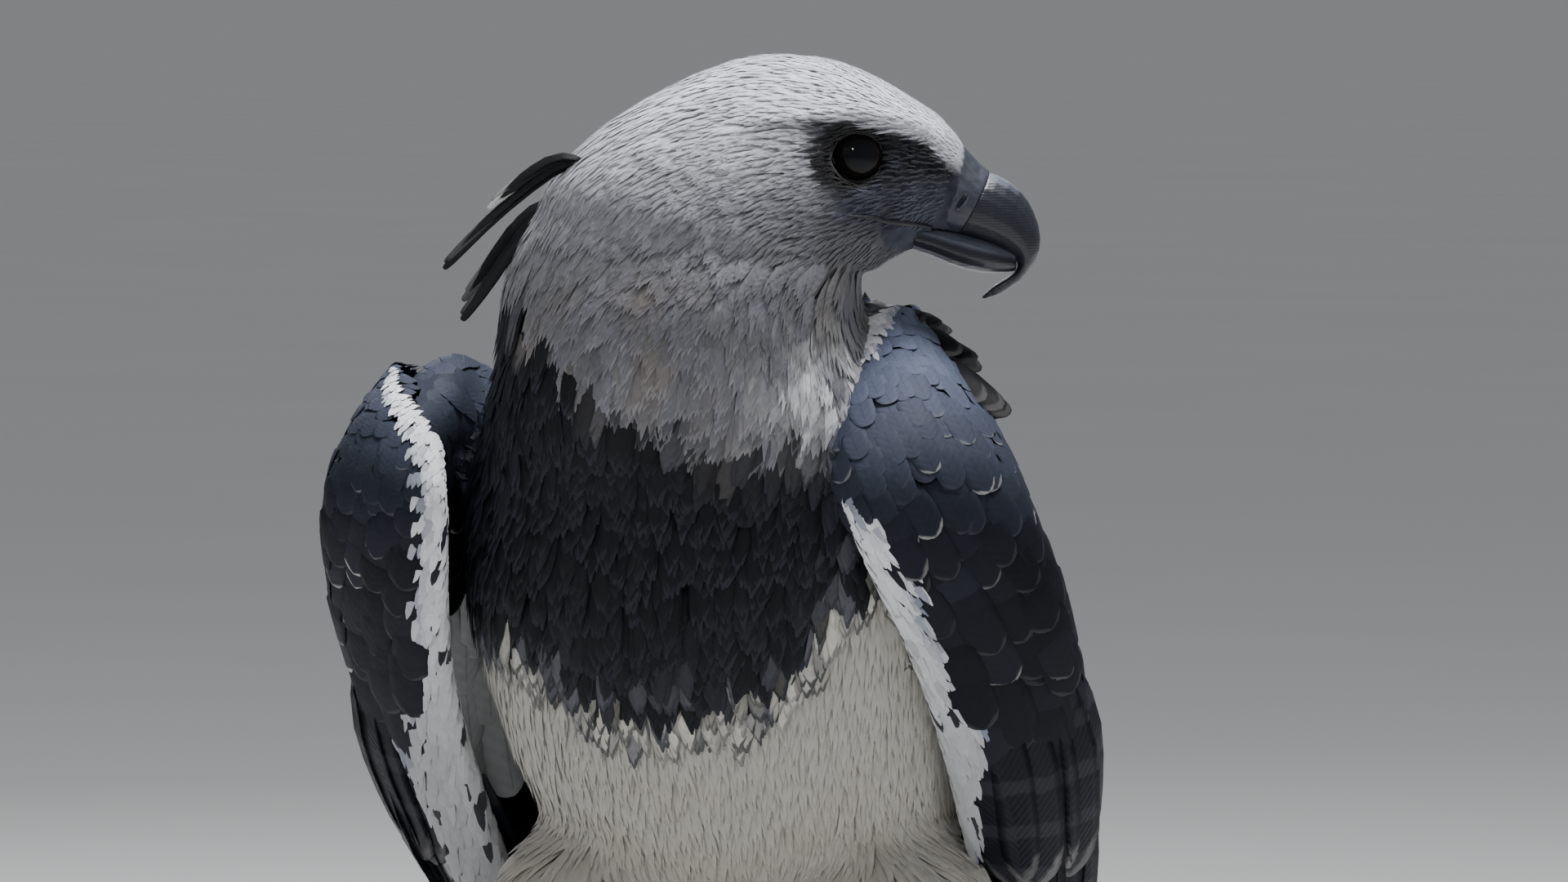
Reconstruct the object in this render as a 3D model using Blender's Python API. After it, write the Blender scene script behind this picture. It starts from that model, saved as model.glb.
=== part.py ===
"""A life-size standing harpy eagle as a still museum model.

The bird faces -Y with its left side at +X, +Z is up and the floor is z = 0.
Its head is turned over its left shoulder, as in a side-on portrait.
All sizes are in metres.
"""

import math

import bmesh
import bpy
import numpy as np
from mathutils import Vector
from mathutils.bvhtree import BVHTree

GAP = 0.0003            # clear space between touching pieces
EYE_HEIGHT = 0.6464     # eye above the floor
HEAD_YAW = 110.0        # degrees that the head is turned to the bird's left
NECK_BASE = (0.0145, -0.0398)   # where the turned head's own mid plane stands
EYE_REACH = 0.0531      # from there forward to the eye

# Trunk: each row is (belly y, belly z, back y, back z, half width), tail root first.
TRUNK = (
    (0.150, 0.258, 0.186, 0.292, 0.036),
    (0.108, 0.258, 0.168, 0.336, 0.066),
    (0.048, 0.286, 0.144, 0.387, 0.092),
    (-0.018, 0.336, 0.117, 0.437, 0.107),
    (-0.070, 0.396, 0.091, 0.483, 0.114),
    (-0.094, 0.448, 0.068, 0.522, 0.113),
    (-0.100, 0.492, 0.049, 0.548, 0.104),
)
# Neck: each row is (centre x, y, z, yaw, half reach, half rise, half width).
NECK = (
    (0.000, -0.032, 0.549, 25.0, 0.081, 0.018, 0.091),
    (-0.006, -0.042, 0.576, 62.0, 0.081, 0.010, 0.080),
    (-0.001, -0.043, 0.601, 98.0, 0.079, 0.004, 0.071),
)
# Head, measured from the eye: (crown forward, crown up, throat forward, throat up, half width).
HEAD = (
    (-0.1354, -0.0189, 0.0130, -0.0500, 0.066),
    (-0.1222, -0.0010, 0.0160, -0.0475, 0.061),
    (-0.1007, 0.0168, 0.0190, -0.0458, 0.057),
    (-0.0740, 0.0318, 0.0212, -0.0446, 0.052),
    (-0.0490, 0.0420, 0.0232, -0.0438, 0.048),
    (-0.0275, 0.0442, 0.0252, -0.0430, 0.045),
    (-0.0079, 0.0418, 0.0272, -0.0418, 0.0415),
    (0.0100, 0.0348, 0.0292, -0.0395, 0.036),
    (0.0260, 0.0256, 0.0318, -0.0368, 0.0295),
    (0.0395, 0.0160, 0.0345, -0.0350, 0.0240),
    (0.0500, 0.0040, 0.0375, -0.0345, 0.0190),
)
# Upper bill, from the eye: (ridge forward, ridge up, edge forward, edge up, half width).
CERE = (
    (0.0500, 0.0040, 0.0375, -0.0345, 0.0190),
    (0.0560, -0.0030, 0.0420, -0.0353, 0.0182),
    (0.0618, -0.0078, 0.0465, -0.0358, 0.0170),
)
HOOK = (
    (0.0616, -0.0081, 0.0465, -0.0358, 0.0162),
    (0.0690, -0.0112, 0.0545, -0.0376, 0.0148),
    (0.0764, -0.0172, 0.0625, -0.0400, 0.0130),
    (0.0812, -0.0249, 0.0690, -0.0425, 0.0110),
    (0.0842, -0.0340, 0.0732, -0.0455, 0.0090),
    (0.0838, -0.0427, 0.0750, -0.0487, 0.0070),
    (0.0800, -0.0505, 0.0738, -0.0520, 0.0052),
    (0.0735, -0.0572, 0.0700, -0.0550, 0.0034),
    (0.0594, -0.0634, 0.0592, -0.0630, 0.0005),
)
# Lower bill, from the eye: (forward, up, half depth, half width).
MANDIBLE = (
    (0.0108, -0.0334, 0.0046, 0.0200),
    (0.0240, -0.0352, 0.0056, 0.0186),
    (0.0360, -0.0384, 0.0062, 0.0170),
    (0.0480, -0.0425, 0.0072, 0.0152),
    (0.0585, -0.0452, 0.0068, 0.0130),
    (0.0665, -0.0468, 0.0055, 0.0098),
    (0.0735, -0.0484, 0.0030, 0.0052),
)
NOSTRIL = (0.0480, -0.0205, 0.0182)     # forward, up and out from the eye line
NOSTRIL_RADII = (0.0052, 0.0030, 0.0014)
NOSTRIL_TILT = 52.0      # degrees
# Line of the mouth as (forward, up, out), drawn on to the head, and the thickness of its fold.
GAPE = ((-0.0060, -0.0257, 0.042), (0.0050, -0.0266, 0.039), (0.0160, -0.0287, 0.034),
        (0.0270, -0.0302, 0.028), (0.0380, -0.0322, 0.022))
GAPE_RADII = (0.0004, 0.0012, 0.0014, 0.0014, 0.0013)
# Brow ridge: forward, up and out from the eye line.
BROW = ((-0.030, 0.0085, 0.0395), (-0.016, 0.0145, 0.0405), (0.000, 0.0160, 0.0385),
        (0.018, 0.0130, 0.0305), (0.036, 0.0055, 0.0190))
BROW_RADII = (0.003, 0.0050, 0.0062, 0.0058, 0.0035)
LID_REACH = (0.0128, 0.0120)     # half length and half height of the eyelids' ring
LID_RADIUS = 0.0020
LID_PLACE = (-0.0004, 0.0385, 0.0035)   # up, out, and how far its front is let in
PIT_PLACE = (0.002, -0.0012, 0.0150)    # forward, up, and out from the eye's middle
PIT_RADII = (0.0156, 0.0080, 0.0128)
# How square each section is (2 is an ellipse), and how pear-shaped.
HEAD_FULL, BILL_FULL, TRUNK_FULL = 2.1, 2.15, 2.15
CERE_PEAR, BILL_PEAR, TRUNK_PEAR, NECK_PEAR = 0.16, 0.24, 0.06, 0.04
EYE_RADIUS = 0.0135
EYE_DEPTH = 0.0290      # eye centre from the head's mid plane

# Wing edges of the left wing, shoulder to tip, as (x, y, z).
LEADING = (
    (0.094, -0.046, 0.558), (0.090, -0.097, 0.500), (0.106, -0.040, 0.415),
    (0.106, 0.050, 0.325), (0.096, 0.142, 0.245), (0.084, 0.262, 0.157),
)
OUTER = (
    (0.112, -0.022, 0.570), (0.150, -0.055, 0.508), (0.160, 0.000, 0.430),
    (0.145, 0.075, 0.335), (0.112, 0.155, 0.258), (0.074, 0.266, 0.172),
)
TRAILING = (
    (0.076, 0.024, 0.566), (0.056, 0.062, 0.530), (0.028, 0.116, 0.460),
    (0.014, 0.162, 0.374), (0.013, 0.214, 0.296), (0.030, 0.280, 0.192),
)
FRONT_BULGE = 0.012
BACK_BULGE = 0.020
SHRUG = {1: (-0.028, 0.028, 0.010), -1: (0.026, 0.0, -0.016)}   # shoulder shift, left and right
SHRUG_END = 0.38        # share of the wing that the shift fades out over
DROOP = {1: 0.0, -1: 0.010}     # how far the hanging part of each wing is held off the body
DROOP_START, DROOP_RUN = 0.15, 0.30     # where along the wing that starts, and its run
WING_CHORD = 0.16       # metres from edge to edge at which the wing has its full thickness
CORE_END = 0.60         # share of the wing that flesh and coverts fill
WING_THICK = (0.046, 0.034, 0.020, 0.011, 0.007)
INNER_THICK = (0.8, 1.15, 0.7)  # of that behind, in the middle and in front
DOME_ANGLES = (18, 45, 70)      # rings of the rounded shoulder, in degrees from its top
DOME_RISE = 0.014
CORE_TAPER, CORE_ROUND = 0.82, 0.006    # last ring of the core, and how far it stands beyond

# Tail mid line as (y, z), root to tip.
TAIL_LINE = ((0.150, 0.286), (0.235, 0.203), (0.330, 0.112), (0.415, 0.050), (0.482, 0.023))
TAIL_HALF = (0.030, 0.076)
TAIL_FEATHERS = 12
TAIL_CAMBER = 0.010     # how far the tail's sides hang below its middle
FIRST_TAIL, TAIL_SPACE = 0.09, 0.17     # shafts across half the tail, from its mid line
TAIL_VANE = 0.024       # half width of a tail feather
TAIL_SHORTER = 0.006    # by which each pair is shorter than the one above
# Rump and tail coverts: share of the tail, half width and half depth of each ring.
RUMP = ((-0.06, 0.034, 0.016), (0.05, 0.045, 0.019), (0.13, 0.050, 0.017), (0.20, 0.050, 0.012),
        (0.26, 0.043, 0.0085), (0.30, 0.030, 0.0055))
RUMP_DROP = 0.006       # its middle under the tail's upper face
TAIL_ROOT = 0.16        # share of the tail where the vanes start, inside the coverts
VANE = 0.0006           # thickness of a vane in the solids
# Share of a vane's full width at its tip, before the tip and at its root, and the tip's arc.
TIP_WIDTH, SHOULDER_WIDTH, ROOT_WIDTH, TIP_ARC = 0.30, 0.86, 0.55, 0.05
STEP = 0.0010           # how far each wing feather lies over the next one
WING_LINES = 9          # feather shafts across the wing
FIRST_LINE = 0.10       # where across the wing the first one runs
LINE_SPACE = 0.10       # and the space from one shaft to the next
# Rows of wing feathers: first and last shaft, root, front and back tip along the wing,
# rows of points, height of the roots and of the vanes over the wing's own surface.
WING_TIERS = (
    ("primary", 0, 4, 0.54, 1.00, 0.95, 6, -0.0066, -0.0066),
    ("secondary", 3, 8, 0.54, 0.91, 0.82, 5, -0.0036, -0.0036),
    ("greater", 1, 8, 0.46, 0.69, 0.67, 4, -0.0045, 0.0018),
    ("median", 1, 8, 0.33, 0.53, 0.52, 3, -0.0035, 0.0046),
)
LAYER = 0.0010          # rise from one tail feather to the next

# Left leg: thigh rows are (x, y, z, half width, half depth).
THIGH = (
    (0.056, 0.064, 0.352, 0.040, 0.054),
    (0.070, 0.042, 0.308, 0.051, 0.063),
    (0.079, 0.030, 0.258, 0.050, 0.060),
    (0.083, 0.034, 0.206, 0.043, 0.050),
    (0.085, 0.045, 0.160, 0.033, 0.037),
    (0.085, 0.051, 0.124, 0.0225, 0.0245),
)
SHANK = (
    (0.085, 0.053, 0.150, 0.0125, 0.0140),
    (0.085, 0.050, 0.126, 0.0145, 0.0160),
    (0.086, 0.041, 0.095, 0.0130, 0.0140),
    (0.086, 0.034, 0.060, 0.0130, 0.0138),
    (0.086, 0.029, 0.034, 0.0150, 0.0150),
)
ANKLE = (0.086, 0.026, 0.024)   # where the toes spread from
PAD_FLAT = 0.86         # height of a toe's middle over the floor, in its radii
HUB = (0.018, 0.020, 0.021)     # half sizes of the foot's middle
HUB_DROP = 0.003
TOE_TAPER, TOE_JOINTS = 0.16, 0.07      # how a toe narrows, and how its joints swell
TOE_END = 0.72          # last ring of a toe, of its own radius
CLAW_SHARE = 0.62       # a claw's radius at its root, of the toe's
CLAW_TURN = (20, -72)   # degrees that a claw climbs and falls
CLAW_TIP = 0.0006       # radius of the point
CLAW_CLEAR = 0.0012     # height of the point over the floor
# Toes: name, heading from straight ahead (towards the tail's side is 180), length, radius, claw length.
TOES = (
    ("inner", -27.0, 0.062, 0.0118, 0.058),
    ("middle", 2.0, 0.084, 0.0122, 0.046),
    ("outer", 33.0, 0.066, 0.0108, 0.038),
    ("hind", 172.0, 0.052, 0.0124, 0.070),
)

# Crest: its pad down the nape and its two lobes as (forward, up) from the eye.
CREST_PAD = ((-0.100, 0.0150), (-0.1180, 0.0020), (-0.1300, -0.0130), (-0.1370, -0.0290), (-0.1370, -0.0420))
CREST_PAD_RADII = (0.004, 0.0095, 0.0100, 0.0085, 0.0040)
CREST_LOBES = (
    (((-0.1130, -0.0010), (-0.1340, -0.0105), (-0.1560, -0.0270), (-0.1775, -0.0482)), 0.0035),
    (((-0.1330, -0.0240), (-0.1480, -0.0395), (-0.1600, -0.0560), (-0.1690, -0.0700)), -0.0035),
)
CREST_FEATHERS = 3
CREST_STEP = 0.0022     # rise from one crest feather to the next
CREST_HALF = 0.0085     # half width of a crest feather
CREST_SHORTER = 0.17    # share by which each feather is shorter than the one over it
CREST_FAN = 0.8         # share by which each one stands further aside
CREST_TILT = (0.80, 0.60)       # how its width lies: to the side, and up
CREST_VANE = 0.0008

COLOURS = {
    "slate": ((0.018, 0.021, 0.028, 1), 0.62),
    "grey": ((0.36, 0.37, 0.41, 1), 0.8),
    "white": ((0.72, 0.71, 0.68, 1), 0.85),
    "bib": ((0.012, 0.013, 0.016, 1), 0.75),
    "horn": ((0.020, 0.022, 0.028, 1), 0.35),
    "cere": ((0.055, 0.062, 0.080, 1), 0.45),
    "eye": ((0.006, 0.005, 0.005, 1), 0.06),
    "skin": ((0.62, 0.48, 0.16, 1), 0.55),
}


def material(name):
    """The Principled material of that name, made once."""
    found = bpy.data.materials.get(name)
    if found:
        return found
    made = bpy.data.materials.new(name)
    made.use_nodes = True
    shader = made.node_tree.nodes["Principled BSDF"]
    colour, roughness = COLOURS[name]
    shader.inputs["Base Color"].default_value = colour
    shader.inputs["Roughness"].default_value = roughness
    made.diffuse_color = colour
    return made


def solid(name, points, faces, finish):
    """A mesh object in the model's collection, in triangles, with its faces turned outwards."""
    mesh = bpy.data.meshes.new(name)
    mesh.from_pydata([tuple(p) for p in points], [], faces)
    shape = bmesh.new()
    shape.from_mesh(mesh)
    bmesh.ops.recalc_face_normals(shape, faces=shape.faces)
    bmesh.ops.triangulate(shape, faces=shape.faces)
    if shape.calc_volume(signed=True) < 0:
        bmesh.ops.reverse_faces(shape, faces=shape.faces)
    shape.to_mesh(mesh)
    shape.free()
    mesh.materials.append(material(finish))
    made = bpy.data.objects.new(name, mesh)
    MODEL.objects.link(made)
    return made


def curve_at(rows, place):
    """Rows read at fractional indexes, on a smooth curve through them."""
    rows = np.asarray(rows, float)
    place = np.clip(np.atleast_1d(place), 0, len(rows) - 1)
    low = np.minimum(place.astype(int), len(rows) - 2)
    share = (place - low).reshape((-1,) + (1,) * (rows.ndim - 1))
    before = rows[np.maximum(low - 1, 0)]
    first, second = rows[low], rows[low + 1]
    after = rows[np.minimum(low + 2, len(rows) - 1)]
    return 0.5 * (
        2 * first
        + (second - before) * share
        + (2 * before - 5 * first + 4 * second - after) * share**2
        + (3 * first - before - 3 * second + after) * share**3
    )


def head_axes():
    """Forward and left directions of the turned head."""
    yaw = math.radians(HEAD_YAW)
    return (np.array([math.sin(yaw), -math.cos(yaw), 0.0]),
            np.array([math.cos(yaw), math.sin(yaw), 0.0]))


def head_point(forward, up, left=0.0):
    """A place measured from the point between the eyes, in the model's frame."""
    ahead, side = head_axes()
    base = np.array([*NECK_BASE, EYE_HEIGHT])
    return base + ahead * (EYE_REACH + forward) + side * left + np.array([0, 0, up])


def head_row(row):
    """A head row as a centre, yaw, half reach, half rise and half width."""
    crown, throat = head_point(row[0], row[1]), head_point(row[2], row[3])
    centre = (crown + throat) / 2
    reach, rise = (row[2] - row[0]) / 2, (row[1] - row[3]) / 2
    return (*centre, HEAD_YAW, reach, rise, row[4])


def trunk_row(row):
    """A trunk row in the same form."""
    belly_y, belly_z, back_y, back_z, half = row
    return (0, (belly_y + back_y) / 2, (belly_z + back_z) / 2, 0.0,
            (back_y - belly_y) / 2, (back_z - belly_z) / 2, half)


def ring(row, sides, pear=0.0, full=2.0):
    """One closed section: a rounded outline from the back, round the left side, to the belly."""
    x, y, z, yaw, reach, rise, half = row
    turn = np.linspace(0, 2 * np.pi, sides, endpoint=False)
    back, left = np.cos(turn), np.sin(turn)
    swell = (np.abs(back) ** full + np.abs(left) ** full) ** (-1 / full)
    yaw = math.radians(yaw)
    ahead = np.array([math.sin(yaw), -math.cos(yaw), 0])
    side = np.array([math.cos(yaw), math.sin(yaw), 0])
    up = -ahead * reach + np.array([0, 0, rise])
    wide = half * (1 - pear * back)
    return (np.array([x, y, z]) + np.outer(back * swell, up)
            + np.outer(left * swell * wide, side))


def loft(name, rings, finish):
    """A closed solid through rings of equal count, with a flat cap at each end."""
    rings = np.asarray(rings)
    count, sides, _ = rings.shape
    faces = []
    for i in range(count - 1):
        for j in range(sides):
            k = (j + 1) % sides
            faces.append((i * sides + j, i * sides + k, (i + 1) * sides + k, (i + 1) * sides + j))
    faces.append(tuple(range(sides)))
    faces.append(tuple(range((count - 1) * sides, count * sides)))
    return solid(name, rings.reshape(-1, 3), faces, finish)


def stepped(low, high, count):
    """Evenly spaced values from low to high."""
    return np.linspace(low, high, count)


def shifted(rings, amount):
    """The first ring moved along the loft by amount, so that two solids leave a gap."""
    rings = np.array(rings)
    along = rings[1].mean(0) - rings[0].mean(0)
    across = np.cross(rings[0][1] - rings[0][0], rings[0][5] - rings[0][0])
    across /= np.linalg.norm(across)
    rings[0] += across * amount * np.sign(across @ along)
    return rings


def evaluated_mesh(obj):
    """A plain mesh of the object with its modifiers applied."""
    bpy.context.view_layer.update()
    graph = bpy.context.evaluated_depsgraph_get()
    return bpy.data.meshes.new_from_object(obj.evaluated_get(graph))


def apply_modifiers(obj):
    """Replaces the object's mesh with its evaluated one."""
    finish = obj.data.materials[0]
    mesh = evaluated_mesh(obj)
    obj.modifiers.clear()
    obj.data = mesh
    mesh.materials.clear()
    mesh.materials.append(finish)


def keep_largest(obj):
    """Drops every closed surface of the object but its largest."""
    shape = bmesh.new()
    shape.from_mesh(obj.data)
    left, best, most = set(shape.faces), [], 0.0
    while left:
        island, reach = set(), [left.pop()]
        while reach:
            face = reach.pop()
            island.add(face)
            for edge in face.edges:
                for near in edge.link_faces:
                    if near in left:
                        left.remove(near)
                        reach.append(near)
        area = sum(f.calc_area() for f in island)
        if area > most:
            best, most = island, area
    drop = [f for f in shape.faces if f not in best]
    bmesh.ops.delete(shape, geom=drop, context="FACES")
    loose = [v for v in shape.verts if not v.link_faces]
    bmesh.ops.delete(shape, geom=loose, context="VERTS")
    shape.to_mesh(obj.data)
    shape.free()


def combine(obj, others, operation):
    """One Boolean of the object with all the others, which are then removed."""
    group = bpy.data.collections.new("join")
    bpy.context.scene.collection.children.link(group)
    for other in others:
        for home in list(other.users_collection):
            home.objects.unlink(other)
        group.objects.link(other)
    join = obj.modifiers.new("join", "BOOLEAN")
    join.operation = operation
    join.operand_type = "COLLECTION"
    join.collection = group
    join.solver = "MANIFOLD"
    apply_modifiers(obj)
    for other in others:
        bpy.data.objects.remove(other)
    bpy.data.collections.remove(group)
    keep_largest(obj)
    return obj


def grown(obj, amount=GAP):
    """A copy of the object swollen by amount, to cut its neighbours with."""
    copy = bpy.data.objects.new(obj.name + "_cutter", obj.data.copy())
    MODEL.objects.link(copy)
    swell = copy.modifiers.new("swell", "DISPLACE")
    swell.strength = amount * 1.25
    swell.mid_level = 0.0
    apply_modifiers(copy)
    return copy


def cut_clear(obj, *neighbours):
    """Cuts the object back from its neighbours by the gap, one after the other."""
    for neighbour in neighbours:
        combine(obj, [grown(neighbour)], "DIFFERENCE")
    return obj


def ball(name, centre, radii, finish, rings=12, sides=20, turn=None):
    """An ellipsoid from a UV sphere."""
    mesh = bpy.data.meshes.new(name)
    shape = bmesh.new()
    bmesh.ops.create_uvsphere(shape, u_segments=sides, v_segments=rings, radius=1)
    points = np.array([v.co[:] for v in shape.verts]) * np.asarray(radii)
    if turn is not None:
        points = points @ np.asarray(turn)
    for vertex, point in zip(shape.verts, points + np.asarray(centre)):
        vertex.co = point
    shape.to_mesh(mesh)
    shape.free()
    mesh.materials.append(material(finish))
    made = bpy.data.objects.new(name, mesh)
    MODEL.objects.link(made)
    return made


def tube(name, path, radii, finish, sides=12):
    """A round tube of varying radius along a path, with flat ends."""
    path, radii = np.asarray(path, float), np.asarray(radii, float)
    along = np.gradient(path, axis=0)
    along /= np.linalg.norm(along, axis=1)[:, None]
    up = np.array([0, 0, 1.0])
    rings = []
    for point, radius, tangent in zip(path, radii, along):
        side = np.cross(tangent, up)
        if np.linalg.norm(side) < 0.2:
            side = np.cross(tangent, [0, 1.0, 0])
        side /= np.linalg.norm(side)
        top = np.cross(side, tangent)
        turn = np.linspace(0, 2 * np.pi, sides, endpoint=False)
        rings.append(point + radius * (np.outer(np.cos(turn), top) + np.outer(np.sin(turn), side)))
    return loft(name, rings, finish)


def vane(name, place, lift, finish, rows=6, thick=VANE):
    """A feather's vane as a thin curved plate, split into the same triangles on both faces.

    place(x, v) and lift(x, v) give a point and its outward direction times height, where x
    runs across the vane from -1 to 1 and v from root to tip.
    """
    across = np.array([-1.0, 0.0, 1.0])
    down = np.linspace(0, 1, rows)
    x, v = np.meshgrid(across, down)
    widening = np.minimum(1, ROOT_WIDTH + 1.2 * v)
    narrow = np.where(v > 0.999, TIP_WIDTH, np.where(v > 0.80, SHOULDER_WIDTH, widening))
    x, v = (x * narrow).ravel(), (v - TIP_ARC * (np.abs(x) > 0) * (v > 0.9)).ravel()
    low, normal = place(x, v), lift(x, v)
    upper = low + normal * thick
    count = len(x)
    faces = []
    for i in range(rows - 1):
        for j in range(2):
            a, b = i * 3 + j, i * 3 + j + 1
            c, d = b + 3, a + 3
            faces += [(a, c, b), (a, d, c)]
            faces += [(a + count, b + count, c + count), (a + count, c + count, d + count)]
    border = ([(j, j + 1) for j in range(2)] + [(i * 3 + 2, i * 3 + 5) for i in range(rows - 1)]
              + [(rows * 3 - 1 - j, rows * 3 - 2 - j) for j in range(2)]
              + [(i * 3 + 3, i * 3) for i in range(rows - 2, -1, -1)])
    for a, b in border:
        faces += [(a, b, b + count), (a, b + count, a + count)]
    return solid(name, np.vstack([low, upper]), faces, finish)


def wing_lines(side):
    """The wing's leading, outer and trailing lines, with the shoulder's own shift."""
    lines = np.array([LEADING, OUTER, TRAILING], float)
    place = np.linspace(0, 1, lines.shape[1])
    fade = np.clip(1 - place / SHRUG_END, 0, 1) ** 1.5
    lines += np.outer(fade, SHRUG[side])[None]
    lines[..., 0] += DROOP[side] * np.clip((place - DROOP_START) / DROOP_RUN, 0, 1)
    lines[..., 0] *= side
    return lines


def wing_section(side, t):
    """The eight control points of the closed section at share t of the wing's length."""
    lines = wing_lines(side)
    steps = lines.shape[1] - 1
    lead, outer, trail = (curve_at(line, t * steps) for line in lines)
    step = 0.01
    onward = sum(curve_at(line, np.clip(t + step, 0, 1) * steps)
                 - curve_at(line, np.clip(t - step, 0, 1) * steps) for line in lines)

    def outward(chord):
        normal = np.cross(onward, chord) * side
        return normal / np.maximum(np.linalg.norm(normal, axis=1), 1e-9)[:, None]

    size = np.linalg.norm(outer - lead, axis=1)[:, None] + np.linalg.norm(trail - outer, axis=1)[:, None]
    size = np.minimum(size / WING_CHORD, 1)
    ahead, behind = outward(outer - lead), outward(trail - outer)
    front = (lead + outer) / 2 + ahead * FRONT_BULGE * size
    rear = (outer + trail) / 2 + behind * BACK_BULGE * size
    thick = curve_at(np.array(WING_THICK)[:, None], t * (len(WING_THICK) - 1)) * size
    fold = ahead + behind
    fold /= np.linalg.norm(fold, axis=1)[:, None]
    back, middle, fore = INNER_THICK
    return np.stack([lead, front, outer, rear, trail,
                     rear - behind * thick * back, outer - fold * thick * middle,
                     front - ahead * thick * fore], axis=1)


def wing_point(side, s, t):
    """A point of the wing's skin: s runs 0 to 1 over the outside, front to back, and on to 2 inside."""
    s, t = np.broadcast_arrays(np.asarray(s, float), np.asarray(t, float))
    shape = s.shape
    s, t = np.mod(s.ravel(), 2) * 4, t.ravel()
    controls = wing_section(side, t)
    low = np.floor(s).astype(int)
    share = (s - low)[:, None]
    pick = np.arange(len(s))
    before, first, second, after = (controls[pick, (low + k) % 8] for k in (-1, 0, 1, 2))
    point = 0.5 * (2 * first + (second - before) * share
                   + (2 * before - 5 * first + 4 * second - after) * share**2
                   + (3 * first - before - 3 * second + after) * share**3)
    return point.reshape(shape + (3,))


def wing_normal(side, s, t):
    """The outward direction of the wing's outside."""
    step = 0.004
    s = np.clip(s, 0.01, 0.99)
    t = np.clip(t, 0, 0.98)
    across = wing_point(side, s + step, t) - wing_point(side, s - step, t)
    down = wing_point(side, s, t + step) - wing_point(side, s, t - step)
    normal = np.cross(down, across) * side
    return normal / np.maximum(np.linalg.norm(normal, axis=-1), 1e-9)[..., None]


def wing_core(side, name):
    """Arm, hand and small coverts as one rounded body, without the feathers."""
    steps = 9
    lines = FIRST_LINE + LINE_SPACE * np.arange(-1, WING_LINES + 1)
    s = np.concatenate([lines, np.linspace(1.12, 1.88, 6)])
    sides = len(s)
    rings = [wing_point(side, s, np.full(sides, t)) for t in np.linspace(0, CORE_END, steps)]
    top, onward = rings[0], rings[0].mean(0) - rings[1].mean(0)
    onward /= np.linalg.norm(onward)
    middle = top.mean(0)
    dome = []
    for angle in DOME_ANGLES:
        shrink = math.sin(math.radians(angle))
        dome.append(middle + (top - middle) * shrink
                    + onward * DOME_RISE * math.cos(math.radians(angle)))
    end = rings[-1]
    inner = end.mean(0)
    rings.append(inner + (end - inner) * CORE_TAPER - onward * CORE_ROUND)
    return loft(name, dome + rings, "slate")


def wing_feathers(side):
    """The wing's vanes, tier by tier. Each lies over its neighbour in front by one step.

    Their middles and edges share the same lines down the wing, so that no two cross.
    """
    made = []
    for name, first, last, root, tip_front, tip_back, rows, deep, high in WING_TIERS:
        for k in range(first, last + 1):
            s0 = FIRST_LINE + LINE_SPACE * k
            share = (k - first) / (last - first)
            tip = tip_front + (tip_back - tip_front) * share

            def spot(x, v, s0=s0, tip=tip, root=root):
                return s0 + x * LINE_SPACE, root + (tip - root) * v

            def rise(x, v, t, deep=deep, high=high):
                thin = 1 - 0.7 * np.clip((t - CORE_END) / (1 - CORE_END), 0, 1)
                return np.where(v < 0.01, deep, high) * thin - STEP * x

            def place(x, v, spot=spot, rise=rise):
                s, t = spot(x, v)
                return wing_point(side, s, t) + wing_normal(side, s, t) * rise(x, v, t)[:, None]

            def lift(x, v, spot=spot):
                return wing_normal(side, *spot(x, v))

            made.append(vane(f"{name}_{k}", place, lift, "slate", rows))
    return made


def tail_point(s, t):
    """A point of the tail's upper face: s from -1 to 1 across, t from root to tip."""
    line = curve_at(TAIL_LINE, t * (len(TAIL_LINE) - 1))
    half = TAIL_HALF[0] + (TAIL_HALF[1] - TAIL_HALF[0]) * np.sqrt(t)
    step = 0.02
    ahead = (curve_at(TAIL_LINE, np.clip(t + step, 0, 1) * (len(TAIL_LINE) - 1))
             - curve_at(TAIL_LINE, np.clip(t - step, 0, 1) * (len(TAIL_LINE) - 1)))
    ahead /= np.linalg.norm(ahead, axis=1)[:, None]
    up = np.stack([np.zeros(len(t)), -ahead[:, 1], ahead[:, 0]], axis=1)
    point = np.stack([s * half, line[:, 0], line[:, 1]], axis=1)
    return point - up * (TAIL_CAMBER * s**2)[:, None], up


def tail_feathers():
    """Twelve tail feathers, the middle pair on top and each next one under it."""
    made = []
    for k in range(TAIL_FEATHERS):
        rank, side = k // 2, 1 if k % 2 else -1
        s0 = side * (FIRST_TAIL + TAIL_SPACE * rank)
        tip = 1.0 - TAIL_SHORTER * rank

        def spot(x, v, s0=s0, tip=tip):
            t = TAIL_ROOT + (tip - TAIL_ROOT) * v
            half = TAIL_HALF[0] + (TAIL_HALF[1] - TAIL_HALF[0]) * np.sqrt(t)
            return s0 + x * TAIL_VANE / half, t

        def place(x, v, k=k):
            point, up = tail_point(*spot(x, v))
            return point - up * (LAYER * k)

        def lift(x, v):
            return tail_point(*spot(x, v))[1]

        made.append(vane(f"tail_{k}", place, lift, "slate"))
    return made


def tail_node(torso):
    """Rump and tail coverts as a tapering body, with the twelve feathers fused in."""
    sides = 16
    turn = np.linspace(0, 2 * np.pi, sides, endpoint=False)
    rings = []
    for t, half, deep in RUMP:
        centre, up = tail_point(np.zeros(1), np.array([max(t, 0.0)]))
        onward = np.cross([1.0, 0, 0], up[0])
        middle = centre[0] - up[0] * RUMP_DROP + onward * min(t, 0) * 0.4
        rings.append(middle + np.outer(np.cos(turn) * deep, up[0])
                     + np.outer(np.sin(turn) * half, [1.0, 0, 0]))
    base = loft("tail", rings, "slate")
    combine(base, tail_feathers(), "UNION")
    return cut_clear(base, torso)


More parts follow.
